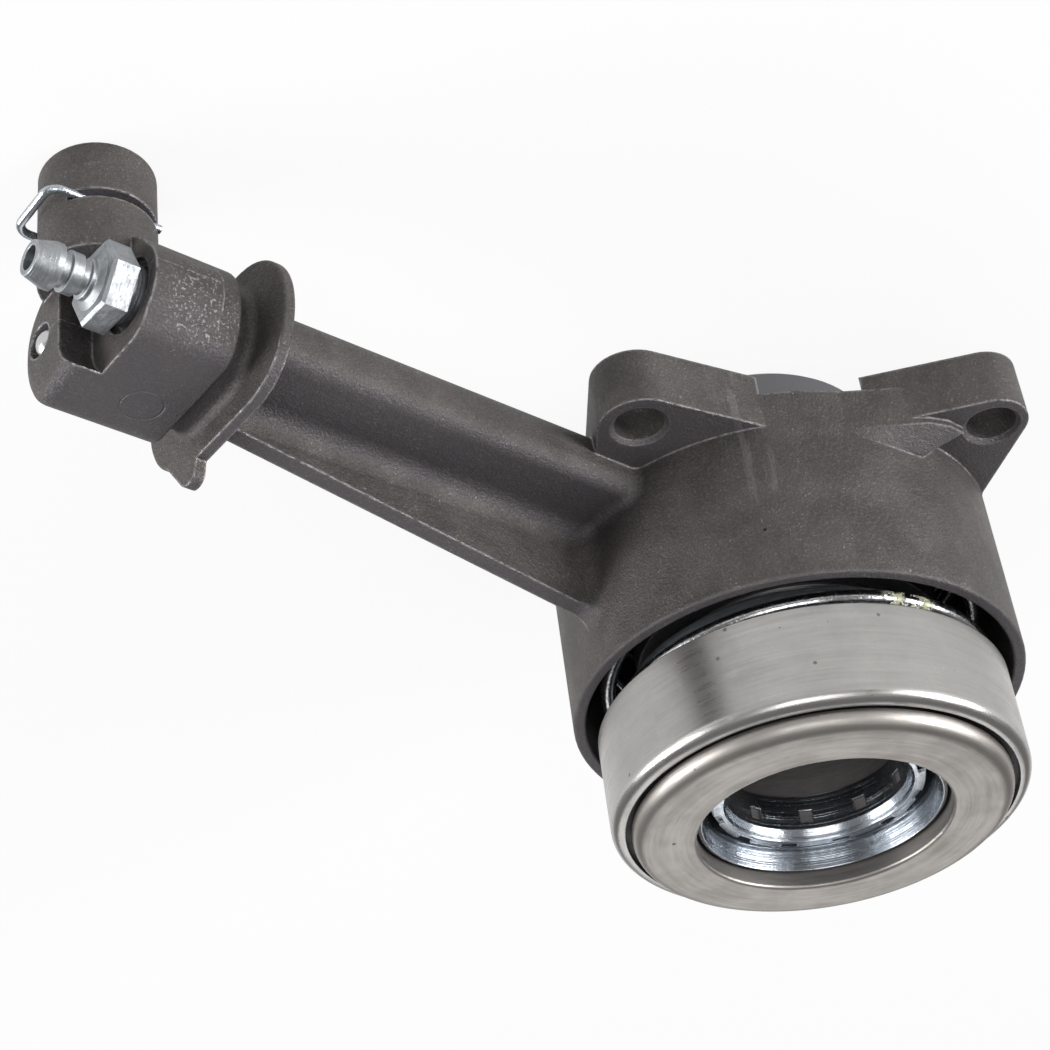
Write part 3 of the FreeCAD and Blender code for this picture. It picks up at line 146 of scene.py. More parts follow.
class Graph:
    """Node tree of one material or world."""

    def __init__(self, owner: bpy.types.Material | bpy.types.World) -> None:
        """Empty the owner's tree.

        Args:
            owner: the new material or world.
        """
        owner.use_nodes = True
        self.owner = owner
        self.tree = owner.node_tree
        self.tree.nodes.clear()

    @classmethod
    def of_material(cls, name: str) -> "Graph":
        """Start a new material of that name."""
        return cls(bpy.data.materials.new(name))

    def add(
        self,
        kind: str,
        settings: dict[str, object] | None = None,
        inputs: dict[str | int, object] | None = None,
    ) -> bpy.types.Node:
        """Add any node.

        Args:
            kind: the node's type.
            settings: properties that are set first.
            inputs: values or signals by socket name, identifier or place.

        Returns:
            The node.
        """
        made = self.tree.nodes.new(kind)
        for key, setting in (settings or {}).items():
            setattr(made, key, setting)
        for key, value in (inputs or {}).items():
            socket = self.pick(made.inputs, key)
            if isinstance(value, Signal):
                self.tree.links.new(value.socket, socket)
            else:
                socket.default_value = value
        return made

    def node(
        self,
        kind: str,
        settings: dict[str, object] | None = None,
        inputs: dict[str | int, object] | None = None,
        result: str | int = 0,
    ) -> Signal:
        """Add any node and take one of its outputs.

        Args:
            kind: the node's type.
            settings: properties that are set first.
            inputs: values or signals by socket name, identifier or place.
            result: name, identifier or place of the output that is wanted.

        Returns:
            The wanted output.
        """
        return Signal(self, self.pick(self.add(kind, settings, inputs).outputs, result))

    @staticmethod
    def pick(sockets: bpy.types.bpy_prop_collection, key: str | int) -> bpy.types.NodeSocket:
        """Find a socket.

        Args:
            sockets: a node's inputs or outputs.
            key: its identifier, name or place.

        Returns:
            The socket.
        """
        if isinstance(key, int):
            return sockets[key]
        found = next((socket for socket in sockets if socket.identifier == key), None)
        return found or sockets[key]

    def place(self) -> Signal:
        """Place on the piece in millimetres of the model's frame."""
        spot = self.node("ShaderNodeTexCoord", result="Object")
        inputs = {0: spot, "Scale": MILLIMETRES}
        return self.node("ShaderNodeVectorMath", {"operation": "SCALE"}, inputs)

    def split(self, spot: Signal) -> tuple[Signal, Signal, Signal]:
        """Take a vector apart into its X, Y and Z."""
        x, y, z = self.add("ShaderNodeSeparateXYZ", inputs={0: spot}).outputs
        return Signal(self, x), Signal(self, y), Signal(self, z)

    def joined(self, x: Signal | float, y: Signal | float, z: Signal | float) -> Signal:
        """Put a vector together from its X, Y and Z."""
        return self.node("ShaderNodeCombineXYZ", inputs={0: x, 1: y, 2: z})

    def radius(self, x: Signal, y: Signal) -> Signal:
        """Distance of a point from an axis."""
        return (x * x + y * y) ** 0.5

    def angle(self, x: Signal, y: Signal) -> Signal:
        """Angle of a point round an axis, in radians."""
        return self.node("ShaderNodeMath", {"operation": "ARCTAN2"}, {0: y, 1: x})

    def noise(self, spot: Signal, scale: float, detail: float = 3.0, rough: float = 0.6) -> Signal:
        """Cloudy noise.

        Args:
            spot: where it is read, in millimetres.
            scale: features per millimetre.
            detail: octaves.
            rough: weight of the finer octaves.

        Returns:
            Its value, about 0.3 to 0.7.
        """
        return self.node(
            "ShaderNodeTexNoise",
            inputs={"Vector": spot, "Scale": scale, "Detail": detail, "Roughness": rough},
        )

    def near(self, spot: Signal, centre: Point, reach: float) -> Signal:
        """Mask of the places near a point.

        Args:
            spot: where it is read, in millimetres.
            centre: the point.
            reach: how far the mask goes.

        Returns:
            1 up to half the reach, 0 from the reach on.
        """
        ends = {0: spot, 1: centre}
        away = self.node("ShaderNodeVectorMath", {"operation": "DISTANCE"}, ends, "Value")
        return away.within(reach, reach * 0.5)

    def specks(self, spot: Signal, scale: float, limit: float) -> Signal:
        """Small scattered specks.

        Args:
            spot: where they are read, in millimetres.
            scale: features per millimetre.
            limit: noise value above which a speck shows.

        Returns:
            1 on a speck.
        """
        return self.noise(spot, scale, detail=1, rough=0.5).within(limit, limit + SPECK_EDGE)

    def surface_normal(self) -> Signal:
        """Normal of the surface before any bump."""
        return self.node("ShaderNodeNewGeometry", result="Normal")

    def facing_front(self) -> Signal:
        """How far the surface faces the clutch side, from -1 to 1."""
        return self.split(self.surface_normal())[2]

    def rounded_normal(self, radius: float) -> Signal:
        """Normal that turns round edges within a radius in metres."""
        return self.node("ShaderNodeBevel", {"samples": BEVEL_SAMPLES}, {"Radius": radius})

    def edges(self, radius: float) -> Signal:
        """Mask of the edges and corners.

        Args:
            radius: how far it reaches, in metres.

        Returns:
            0 on flat places, up to 1 on an edge.
        """
        normals = {0: self.rounded_normal(radius), 1: self.surface_normal()}
        turn = self.node("ShaderNodeVectorMath", {"operation": "DOT_PRODUCT"}, normals, "Value")
        return (1 - turn).within(*EDGE_BAND)

    def mix(
        self, factor: Signal | float, first: Colour | Signal, second: Colour | Signal
    ) -> Signal:
        """Mix two colours.

        Args:
            factor: 0 for the first, 1 for the second.
            first: a colour or signal.
            second: a colour or signal.

        Returns:
            The mixed colour.
        """
        return self.node(
            "ShaderNodeMix",
            {"data_type": "RGBA", "clamp_factor": True},
            {"Factor_Float": factor, "A_Color": self.rgba(first), "B_Color": self.rgba(second)},
            "Result_Color",
        )

    @staticmethod
    def rgba(colour: Colour | Signal) -> object:
        """Give a plain colour its alpha and leave a signal as it is."""
        return colour if isinstance(colour, Signal) else (*colour, 1.0)

    def bump(self, height: Signal, distance: float, normal: Signal | None = None) -> Signal:
        """Raise the surface.

        Args:
            height: 0 to 1.
            distance: what 1 stands for, in metres.
            normal: normal under it, if it isn't the plain one.

        Returns:
            The new normal.
        """
        inputs: dict[str | int, object] = {"Height": height, "Distance": distance, "Strength": 1.0}
        if normal is not None:
            inputs["Normal"] = normal
        return self.node("ShaderNodeBump", inputs=inputs)

    def close(self, shader: Signal, kind: str = "ShaderNodeOutputMaterial") -> None:
        """Lead a shader to the tree's output node, whose type is given."""
        self.add(kind, inputs={"Surface": shader})

    def finish(self, **sockets: object) -> bpy.types.Material:
        """Close the graph with a Principled shader.

        Args:
            sockets: values or signals by socket name, with _ for a space.

        Returns:
            The material.
        """
        named = {key.replace("_", " "): value for key, value in sockets.items()}
        self.close(self.node("ShaderNodeBsdfPrincipled", inputs=named))
        return self.owner


@dataclass(frozen=True)
class Pattern:
    """Noise turned into a mask.

    Attributes:
        scale: features per millimetre.
        band: noise values between which the mask rises from 0 to 1.
        detail: octaves.
        rough: weight of the finer octaves.
    """

    scale: float
    band: Band
    detail: float = 3.0
    rough: float = 0.6

    def read(self, g: Graph, spot: Signal) -> Signal:
        """Read the mask at a place in millimetres."""
        return g.noise(spot, self.scale, self.detail, self.rough).within(*self.band)


@dataclass(frozen=True)
class CastFinish:
    """Dark tumbled die casting with fine grain, burnished edges that carry a painted highlight,
    painted glints and a painted violet reflection on faces turned to the clutch side; machined at
    the spigot.

    Places and widths are in millimetres, angles in radians; the reach and the rounding of edges
    and the relief are in metres. A share or a wear says how strongly a layer shows.
    """

    colour: Colour = (0.078, 0.070, 0.066)
    shade: Colour = (0.052, 0.047, 0.046)
    # lighter violet tint for faces turned to the clutch side: a painted reflection
    painted_reflection_violet: Colour = (0.104, 0.096, 0.104)
    # bright colour of burnished metal, also used for the painted glints and the painted edge
    # highlight
    burnish_and_highlight: Colour = (0.46, 0.44, 0.45)
    machined: Colour = (0.16, 0.16, 0.17)
    pit_colour: Colour = (0.004, 0.004, 0.004)
    metallic: float = 0.6
    roughness: float = 0.5
    clouds: Pattern = Pattern(0.11, BROAD, detail=4)
    painted_reflection_facing: Band = (0.35, 0.95)
    painted_reflection_share: float = 0.8
    peel_scale: float = 0.9
    peel_height: float = 0.35
    peel_roughness: float = 0.1
    grain_scale: float = 2.8
    grain_weight: float = 0.7
    grain_band: Band = (0.45, 0.7)
    grain_share: float = 0.09
    grain_height: float = 0.65
    scattered: Pattern = Pattern(3.2, (0.65, 0.73), detail=2, rough=0.5)
    scatter_patches: Pattern = Pattern(0.22, (0.4, 0.62))
    gathered: Pattern = Pattern(2.8, (0.57, 0.66), detail=2, rough=0.5)
    gathered_share: float = 0.8
    gathering: Point = (-106.5, 12.2, 15.3)
    gathering_reach: float = 7.0
    painted_glint_share: float = 0.4
    glint_polish: float = 0.2
    parting_height: float = 11.6
    parting_width: Band = (0.2, 0.04)
    parting_breaks: Pattern = Pattern(1.2, (0.4, 0.6), rough=0.7)
    parting_relief: float = 0.6
    parting_wear: float = 0.45
    head_from: float = -101.5
    head_fade: float = 0.4
    bottom_height: float = 20.3
    bottom_fade: float = 0.3
    ring_place: tuple[float, float] = (-106.5, -2.9)
    ring_radius: float = 2.75
    ring_width: Band = (0.2, 0.05)
    ring_relief: float = 0.5
    spigot_radius: float = 19.6
    spigot_fade: float = 0.2
    spigot_heights: Band = (-0.2, -0.6)
    spigot_metallic: float = 0.3
    spigot_polish: float = 0.14
    spigot_flatness: float = 0.85
    smears: Pattern = Pattern(1.0, (0.5, 0.6))
    smear_stretch: tuple[float, float] = (22.0, 0.06)
    smear_angle: float = 2.38
    smear_width: Band = (0.16, 0.03)
    smear_heights: Band = (24.0, 18.0)
    smear_wear: float = 0.16
    scuffs: Pattern = Pattern(0.55, (0.62, 0.76), detail=5, rough=0.7)
    scuff_stretch: Point = (0.3, 1.4, 0.25)
    scuff_wear: float = 0.2
    wear_and_highlight_share: float = 0.6
    worn_polish: float = 0.2
    pit: Point = (-24.65, 21.72, 26.32)
    pit_reach: float = 0.35
    edge_breaks: Pattern = Pattern(0.8, (0.32, 0.56), rough=0.75)
    edge_reach: float = 0.0007
    edge_round: float = 0.0004
    relief: float = 0.0003

    def painted_glints(self, g: Graph, spot: Signal) -> Signal:
        """Painted glints: bright specks, thinly scattered and gathered on the side of the head.

        Args:
            g: the material's graph.
            spot: place in millimetres.

        Returns:
            Mask of the painted glints.
        """
        scattered = self.scattered.read(g, spot) * self.scatter_patches.read(g, spot)
        cluster = g.near(spot, self.gathering, self.gathering_reach)
        gathered = self.gathered.read(g, spot) * cluster * self.gathered_share
        return scattered.largest(gathered)

    def seam(self, g: Graph, spot: Signal, x: Signal, z: Signal) -> Signal:
        """Broken parting line on the head.

        Args:
            g: the material's graph.
            spot: place in millimetres.
            x: its X.
            z: its Z.

        Returns:
            Mask of the line.
        """
        on_head = x.within(self.head_from + self.head_fade, self.head_from - self.head_fade)
        line = abs(z - self.parting_height).within(*self.parting_width) * on_head
        return line * self.parting_breaks.read(g, spot)

    def pin_ring(self, g: Graph, x: Signal, y: Signal, z: Signal) -> Signal:
        """Ring left by an ejector pin on the head's flat.

        Args:
            g: the material's graph.
            x: X of the place in millimetres.
            y: its Y.
            z: its Z.

        Returns:
            Mask of the ring.
        """
        reach = g.radius(x - self.ring_place[0], y - self.ring_place[1])
        on_flat = z.within(self.bottom_height - self.bottom_fade, self.bottom_height)
        return abs(reach - self.ring_radius).within(*self.ring_width) * on_flat

    def smear(self, g: Graph, angle: Signal, z: Signal) -> Signal:
        """Rub marks that run down the skirt between the ears.

        Args:
            g: the material's graph.
            angle: angle round the bearing's axis.
            z: height in millimetres.

        Returns:
            Mask of the marks.
        """
        across, along = self.smear_stretch
        marks = self.smears.read(g, g.joined(angle * across, 0.0, z * along))
        marks = marks * abs(angle - self.smear_angle).within(*self.smear_width)
        return marks * z.within(*self.smear_heights)

    def wear_and_edge_highlight(self, g: Graph, spot: Signal, seam: Signal) -> Signal:
        """Edge wear with a painted highlight on the edges, parting line, scuffs and rub marks
        together.

        Args:
            g: the material's graph.
            spot: place in millimetres.
            seam: mask of the parting line.

        Returns:
            How worn the place is, the edges also carrying the painted highlight.
        """
        x, y, z = g.split(spot)
        along_x, along_y, along_z = self.scuff_stretch
        edge = g.edges(self.edge_reach) * self.edge_breaks.read(g, spot)
        scuff = self.scuffs.read(g, g.joined(x * along_x, y * along_y, z * along_z))
        smear = self.smear(g, g.angle(x, y), z) * self.smear_wear
        wear_and_highlight = edge.largest(seam * self.parting_wear).largest(scuff * self.scuff_wear)
        return wear_and_highlight.largest(smear)

    def spigot(self, g: Graph, x: Signal, y: Signal, z: Signal) -> Signal:
        """Machined outside of the spigot.

        Args:
            g: the material's graph.
            x: X of the place in millimetres.
            y: its Y.
            z: its Z.

        Returns:
            Mask of the spigot.
        """
        inside = g.radius(x, y).within(self.spigot_radius, self.spigot_radius - self.spigot_fade)
        return inside * z.within(*self.spigot_heights)

    def material(self) -> bpy.types.Material:
        """Build the material.

        Returns:
            The material.
        """
        g = Graph.of_material("cast_aluminium")
        spot = g.place()
        x, y, z = g.split(spot)
        peel = g.noise(spot, self.peel_scale)
        grain = g.noise(spot, self.grain_scale, rough=self.grain_weight)
        painted_glints = self.painted_glints(g, spot)
        seam = self.seam(g, spot, x, z)
        wear_and_highlight = self.wear_and_edge_highlight(g, spot, seam)
        spigot = self.spigot(g, x, y, z)
        # painted reflection: faces turned towards the clutch side are tinted a lighter violet
        facing = g.facing_front().within(*self.painted_reflection_facing)
        base = g.mix(self.clouds.read(g, spot), self.shade, self.colour)
        base = g.mix(facing * self.painted_reflection_share, base, self.painted_reflection_violet)
        base = g.mix(grain.within(*self.grain_band) * self.grain_share, base, self.burnish_and_highlight)
        # painted glints: bright specks lighten the colour
        base = g.mix(painted_glints * self.painted_glint_share, base, self.burnish_and_highlight)
        # edge wear with a painted highlight: worn places and edges are lightened towards the
        # bright colour
        base = g.mix(wear_and_highlight * self.wear_and_highlight_share, base, self.burnish_and_highlight)
        base = g.mix(spigot, base, self.machined)
        base = g.mix(g.near(spot, self.pit, self.pit_reach), base, self.pit_colour)
        roughness = self.roughness - wear_and_highlight * self.worn_polish - painted_glints * self.glint_polish
        height = peel * self.peel_height + grain * self.grain_height
        height = height * (1 - spigot * self.spigot_flatness) + seam * self.parting_relief
        height = height - self.pin_ring(g, x, y, z) * self.ring_relief
        return g.finish(
            Base_Color=base,
            Metallic=spigot * self.spigot_metallic + self.metallic,
            Roughness=roughness - spigot * self.spigot_polish + peel * self.peel_roughness,
            Normal=g.bump(height, self.relief, g.rounded_normal(self.edge_round)),
        )


@dataclass(frozen=True)
class SteelFinish:
    """Turned, drawn or rolled metal with fine lines round the bearing's axis.

    The reach and the rounding of edges and the relief are in metres, the reach of pits is in
    millimetres. A share says how strongly a layer shows.
    """

    name: str
    colour: Colour
    dull: Colour
    roughness: float = 0.3
    metallic: float = 1.0
    lines: float = 0.4
    line_scale: float = 3.0
    line_stretch: float = 1.6
    line_band: Band = (0.34, 0.68)
    line_weight: float = 0.65
    streaks: float = 0.25
    streak_scale: float = 1.1
    streak_stretch: float = 0.7
    clouds: float = 0.35
    cloud_scale: float = 0.16
    speck_scale: float = 1.6
    speck_limit: float = 0.9
    pits: tuple[Point, ...] = ()
    pit_reach: float = 0.38
    pit_shade: float = 0.3
    mark_share: float = 0.7
    mark_roughness: float = 0.2
    mark_height: float = 0.6
    dull_share: float = 0.8
    dull_roughness: float = 0.16
    polish: float = 0.06
    edge_reach: float = 0.0003
    edge_round: float = 0.0002
    edge_shine: float = 1.2
    edge_share: float = 0.5
    edge_polish: float = 0.05
    relief: float = 0.00001

    def marks(self, g: Graph, spot: Signal) -> Signal:
        """Specks and the pits that the photograph shows.

        Args:
            g: the material's graph.
            spot: place in millimetres.

        Returns:
            Mask of the marks.
        """
        marks = g.specks(spot, self.speck_scale, self.speck_limit)
        for pit in self.pits:
            marks = marks.largest(g.near(spot, pit, self.pit_reach))
        return marks

    def material(self) -> bpy.types.Material:
        """Build the material.

        Returns:
            The material.
        """
        g = Graph.of_material(self.name)
        spot = g.place()
        x, y, z = g.split(spot)
        radius, angle, stretch = g.radius(x, y), g.angle(x, y), self.streak_stretch
        round_spot = g.joined(angle * self.line_stretch, radius, z)
        lines = g.noise(round_spot, self.line_scale, detail=4, rough=self.line_weight)
        lines = lines.within(*self.line_band)
        streak_spot = g.joined(angle * stretch, radius * stretch, z * stretch)
        streaks = g.noise(streak_spot, self.streak_scale).within(*BROAD)
        clouds = g.noise(spot, self.cloud_scale, detail=4).within(*BROAD)
        marks = self.marks(g, spot)
        edge = g.edges(self.edge_reach)
        dull = lines * self.lines + clouds * self.clouds + streaks * self.streaks
        pitted = tuple(self.pit_shade * part for part in self.dull)
        painted_edge_highlight = tuple(min(1.0, self.edge_shine * part) for part in self.colour)
        base = g.mix(dull * self.dull_share, self.colour, self.dull)
        base = g.mix(marks * self.mark_share, base, pitted)
        # painted highlight: edges are made brighter than the metal
        base = g.mix(edge * self.edge_share, base, painted_edge_highlight)
        roughness = dull * self.dull_roughness + (self.roughness - self.polish)
        height = lines + marks * self.mark_height
        return g.finish(
            Base_Color=base,
            Metallic=self.metallic,
            Roughness=roughness - edge * self.edge_polish + marks * self.mark_roughness,
            Normal=g.bump(height, self.relief, g.rounded_normal(self.edge_round)),
        )


@dataclass(frozen=True)
class ZincFinish:
    """Zinc plate with faint frosting and the turning marks under it."""

    name: str
    colour: Colour = (0.66, 0.71, 0.77)
    frost: Colour = (0.46, 0.50, 0.54)
    # brighter colour for the painted edge highlight
    edge_highlight_colour: Colour = (0.7, 0.73, 0.76)
    roughness: float = 0.16
    frosting: float = 0.5
    frosted: Pattern = Pattern(0.8, (0.4, 0.66), detail=5, rough=0.65)
    dull_roughness: float = 0.22
    grain_scale: float = 4.0
    grain_weight: float = 0.7
    grain_height: float = 0.6
    cuts: Pattern = Pattern(1.4, (0.4, 0.62))
    cut_stretch: float = 2.5
    cut_spread: float = 0.1
    cut_share: float = 0.25
    cut_height: float = 0.8
    turning: Turning = Turning.BEARING
    screw_axis: tuple[float, float] = (6.5, 12.6)
    edge_share: float = 0.6
    edge_reach: float = 0.0003
    edge_round: float = 0.0002
    relief: float = 0.00002

    def material(self) -> bpy.types.Material:
        """Build the material.

        Returns:
            The material.
        """
        g = Graph.of_material(self.name)
        spot = g.place()
        x, y, z = g.split(spot)
        if self.turning is Turning.SCREW:
            x, y, z = y - self.screw_axis[0], z - self.screw_axis[1], x
        radius = g.radius(x, y)
        stretch, spread = self.cut_stretch, self.cut_spread
        cuts = self.cuts.read(g, g.joined(radius * stretch, radius * spread, z * stretch))
        grain = g.noise(spot, self.grain_scale, rough=self.grain_weight)
        dull = self.frosted.read(g, spot) * self.frosting + cuts * self.cut_share
        height = grain * self.grain_height + cuts * self.cut_height
        base = g.mix(dull, self.colour, self.frost)
        # painted highlight: edges are lightened towards a brighter colour
        base = g.mix(g.edges(self.edge_reach) * self.edge_share, base, self.edge_highlight_colour)
        return g.finish(
            Base_Color=base,
            Metallic=1.0,
            Roughness=dull * self.dull_roughness + self.roughness,
            Normal=g.bump(height, self.relief, g.rounded_normal(self.edge_round)),
        )


@dataclass(frozen=True)
class SoftFinish:
    """Rubber or plastic with fine grain."""

    name: str
    colour: Colour
    bloom: Colour
    roughness: float = 0.55
    clouds: Pattern = Pattern(0.3, (0.4, 0.7), detail=4)
    cloud_roughness: float = 0.15
    grain_scale: float = 5.0
    grain_weight: float = 0.7
    relief: float = 0.00001

    def material(self) -> bpy.types.Material:
        """Build the material.

        Returns:
            The material.
        """
        g = Graph.of_material(self.name)
        spot = g.place()
        clouds = self.clouds.read(g, spot)
        grain = g.noise(spot, self.grain_scale, rough=self.grain_weight)
        return g.finish(
            Base_Color=g.mix(clouds, self.colour, self.bloom),
            Roughness=clouds * self.cloud_roughness + self.roughness,
            Normal=g.bump(grain, self.relief),
        )


@dataclass(frozen=True)
class GreasedWireFinish:
    """Polished spring wire with dabs of yellow-green grease."""

    colour: Colour = (0.46, 0.46, 0.47)
    dark: Colour = (0.16, 0.16, 0.17)
    grease: Colour = (0.34, 0.345, 0.19)
    greased: Point = (-5.4, 27.9, 34.8)
    greased_reach: float = 5.0
    roughness: float = 0.16
    streaks: Pattern = Pattern(1.2, (0.4, 0.65), detail=4)
    streak_share: float = 0.5
    streak_roughness: float = 0.12
    streak_height: float = 0.1
    dabs: Pattern = Pattern(0.5, (0.46, 0.54), detail=4, rough=0.65)
    grease_roughness: float = 0.18
    relief: float = 0.00012

    def material(self) -> bpy.types.Material:
        """Build the material.

        Returns:
            The material.
        """
        g = Graph.of_material("greased_spring_wire")
        spot = g.place()
        streaks = self.streaks.read(g, spot)
        dabs = self.dabs.read(g, spot) * g.near(spot, self.greased, self.greased_reach)
        wire = g.mix(streaks * self.streak_share, self.colour, self.dark)
        roughness = streaks * self.streak_roughness + self.roughness
        return g.finish(
            Base_Color=g.mix(dabs, wire, self.grease),
            Metallic=1 - dabs,
            Roughness=roughness + dabs * self.grease_roughness,
            Normal=g.bump(dabs + streaks * self.streak_height, self.relief),
        )


class Finishes:
    """Materials of the whole object, each built once."""

    def __init__(self) -> None:
        """Build every finish under its slot of the record."""
        recipes = {
            "cast": CastFinish(),
            "steel_tube": SteelFinish(
                "drawn_tube", (0.24, 0.225, 0.22), (0.15, 0.14, 0.135), roughness=0.5, metallic=0.3
            ),
            "bright_zinc": ZincFinish(
                "bright_zinc", (0.50, 0.535, 0.58), (0.30, 0.325, 0.35), roughness=0.14
            ),
            "rubber": SoftFinish("sealing_rubber", (0.012, 0.012, 0.013), (0.03, 0.03, 0.032)),
            "seal_steel": SteelFinish(
                "pressed_seal_case", (0.42, 0.42, 0.43), (0.2, 0.2, 0.21), roughness=0.4
            ),
            "piston_metal": SteelFinish(
                "machined_piston", (0.6, 0.6, 0.61), (0.35, 0.35, 0.36), roughness=0.34
            ),
            "nylon": SoftFinish(
                "cage_plastic", (0.05, 0.05, 0.055), (0.09, 0.09, 0.09), roughness=0.4
            ),
            "spring_steel": GreasedWireFinish(),
            "cup_steel": ZincFinish("pressed_cup", roughness=0.3, frosting=0.3),
            "race_steel": SteelFinish(
                "ground_race", (0.62, 0.62, 0.63), (0.4, 0.4, 0.41), roughness=0.24
            ),
            "shell_steel": SteelFinish(
                "brushed_shell",
                (0.45, 0.44, 0.425),
                (0.31, 0.30, 0.29),
                lines=0.35,
                line_scale=2.4,
                speck_limit=0.8,
                pits=SHELL_PITS,
                relief=0.000006,
            ),
            "thrust_steel": SteelFinish(
                "rolled_thrust_ring",
                (0.365, 0.342, 0.322),
                (0.24, 0.225, 0.21),
                roughness=0.42,
                lines=0.3,
                line_scale=1.8,
                speck_limit=0.8,
                pits=THRUST_RING_PITS,
                relief=0.000006,
            ),
            "screw_zinc": ZincFinish(
                "turned_zinc",
                (0.33, 0.345, 0.36),
                (0.25, 0.265, 0.28),
                roughness=0.38,
                frosting=0.8,
                turning=Turning.SCREW,
            ),
        }
        self.made = {slot: recipe.material() for slot, recipe in recipes.items()}

    def put_on(self, node: str, slot: str) -> None:
        """Give a CAD node its finish.

        Args:
            node: the node's name.
            slot: the record's material slot.
        """
        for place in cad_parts[node].material_slots:
            place.material = self.made[slot]


@dataclass
class SubAssembly:
    """Pieces that belong together: their CAD nodes, each with its slot."""

    nodes: dict[str, str]

    def dress(self, finishes: Finishes) -> None:
        """Give every node its finish."""
        for node, slot in self.nodes.items():
            finishes.put_on(node, slot)


@dataclass
class CastHousing(SubAssembly):
    """Die-cast body with its plug balls."""

    nodes: dict[str, str] = field(
        default_factory=lambda: {"housing": "cast", "gallery_plug_balls": "race_steel"}
    )


@dataclass
class GuideTube(SubAssembly):
    """Guide tube with its ring seal, the stop ring and the input shaft's seal."""

    nodes: dict[str, str] = field(
        default_factory=lambda: {
            "guide_tube": "steel_tube",
            "guide_tube_o_ring": "rubber",
            "stop_ring": "bright_zinc",
            "shaft_seal_case": "seal_steel",
            "shaft_seal_lip": "rubber",
            "shaft_seal_garter_spring": "race_steel",
        }
    )


@dataclass
class PistonGroup(SubAssembly):
    """Annular piston with its seal and the ring behind it."""

    nodes: dict[str, str] = field(
        default_factory=lambda: {
            "piston": "piston_metal",
            "seal_support_ring": "nylon",
            "piston_lip_seal": "rubber",
        }
    )


@dataclass
class ReleaseBearing(SubAssembly):
    """Release bearing with its carrier and centring spring."""

    nodes: dict[str, str] = field(
        default_factory=lambda: {
            "bearing_carrier": "bright_zinc",
            "centring_disc_spring": "race_steel",
            "bearing_outer_ring": "race_steel",
            "bearing_shell": "shell_steel",
            "bearing_front_seal": "rubber",
            "bearing_rear_seal": "rubber",
            "bearing_balls": "race_steel",
            "ball_cage": "nylon",
            "thrust_ring": "thrust_steel",
        }
    )


@dataclass
class PortFittings(SubAssembly):
    """Wire clip of the hose port and the bleed screw."""

    nodes: dict[str, str] = field(
        default_factory=lambda: {"retaining_clip": "bright_zinc", "bleed_screw": "screw_zinc"}
    )


@dataclass
class PreloadSpring(SubAssembly):
    """Preload spring with closed ends, its seat and its cup; sizes in metres."""

    nodes: dict[str, str] = field(
        default_factory=lambda: {
            "spring_seat": "cup_steel",
            "spring_cup": "cup_steel",
            "preload_spring": "spring_steel",
        }
    )
    radius: float = 0.0273
    wire: float = 0.0012
    rear: float = 0.0105
    front: float = 0.0381
    turns: float = 4.18
    closed: float = 0.6
    closed_rise: float = 0.0002
    easing: float = 0.35
    travel: float = 0.010
    steps: int = 64
    sides: int = 16

    def height(self, turn: float) -> float:
        """Height of the wire's centre after some turns.

        Args:
            turn: turns from the rear end.

        Returns:
            The height in metres.
        """
        low, high = self.rear + self.wire, self.front - self.wire
        share = min(max((turn - self.closed) / (self.turns - 2 * self.closed), 0.0), 1.0)
        share = share + self.easing * (share * share * (3 - 2 * share) - share)
        start = low + self.closed_rise * min(turn / self.closed, 1.0)
        return start + (high - low - 2 * self.closed_rise) * share

    def build(self) -> bpy.types.Object:
        """Sweep the wire.

        Returns:
            The coil.
        """
        mesh = bmesh.new()
        rings = []
        for index in range(int(self.turns * self.steps) + 1):
            turn = index / self.steps
            angle = 2 * math.pi * turn
            outward = Vector((math.cos(angle), math.sin(angle), 0.0))
            centre = outward * self.radius + Vector((0, 0, self.height(turn)))
            ring = []
            for side in range(self.sides):
                around = 2 * math.pi * side / self.sides
                offset = outward * math.cos(around) + Vector((0, 0, math.sin(around)))
                ring.append(mesh.verts.new(centre + offset * self.wire))
            rings.append(ring)
        for first, second in zip(rings, rings[1:]):
            for side in range(self.sides):
                after = (side + 1) % self.sides
                mesh.faces.new((first[side], second[side], second[after], first[after]))
        mesh.faces.new(rings[0])
        mesh.faces.new(reversed(rings[-1]))
        bmesh.ops.recalc_face_normals(mesh, faces=mesh.faces)
        for face in mesh.faces:
            face.smooth = len(face.verts) == 4
        data = bpy.data.meshes.new("preload_coil")
        mesh.to_mesh(data)
        mesh.free()
        coil = bpy.data.objects.new("preload_coil", data)
        bpy.context.scene.collection.objects.link(coil)
        log.info("preload_coil built")
        return coil

    def dress(self, finishes: Finishes) -> None:
        """Put the coil in place of the CAD spring, and finish the seat and the cup.

        Args:
            finishes: the object's materials.
        """
        coil = self.build()
        coil.data.materials.append(finishes.made["spring_steel"])
        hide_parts("preload_spring")
        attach(coil, "housing")
        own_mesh(coil)
        super().dress(finishes)


@dataclass(frozen=True)
class SoftBox:
    """Rectangular lamp: place and size in metres, power in watts."""

    name: str
    place: Point
    width: float
    height: float
    power: float

    def hang(self, aim: Point) -> None:
        """Hang the lamp.

        Args:
            aim: the point that it faces.
        """
        data = bpy.data.lights.new(self.name, "AREA")
        data.shape = "RECTANGLE"
        data.size, data.size_y = self.width, self.height
        data.energy = self.power
        lamp = bpy.data.objects.new(self.name, data)
        lamp.location = self.place
        facing = Vector(aim) - Vector(self.place)
        lamp.rotation_euler = facing.to_track_quat("-Z", "Y").to_euler()
        bpy.context.scene.collection.objects.link(lamp)


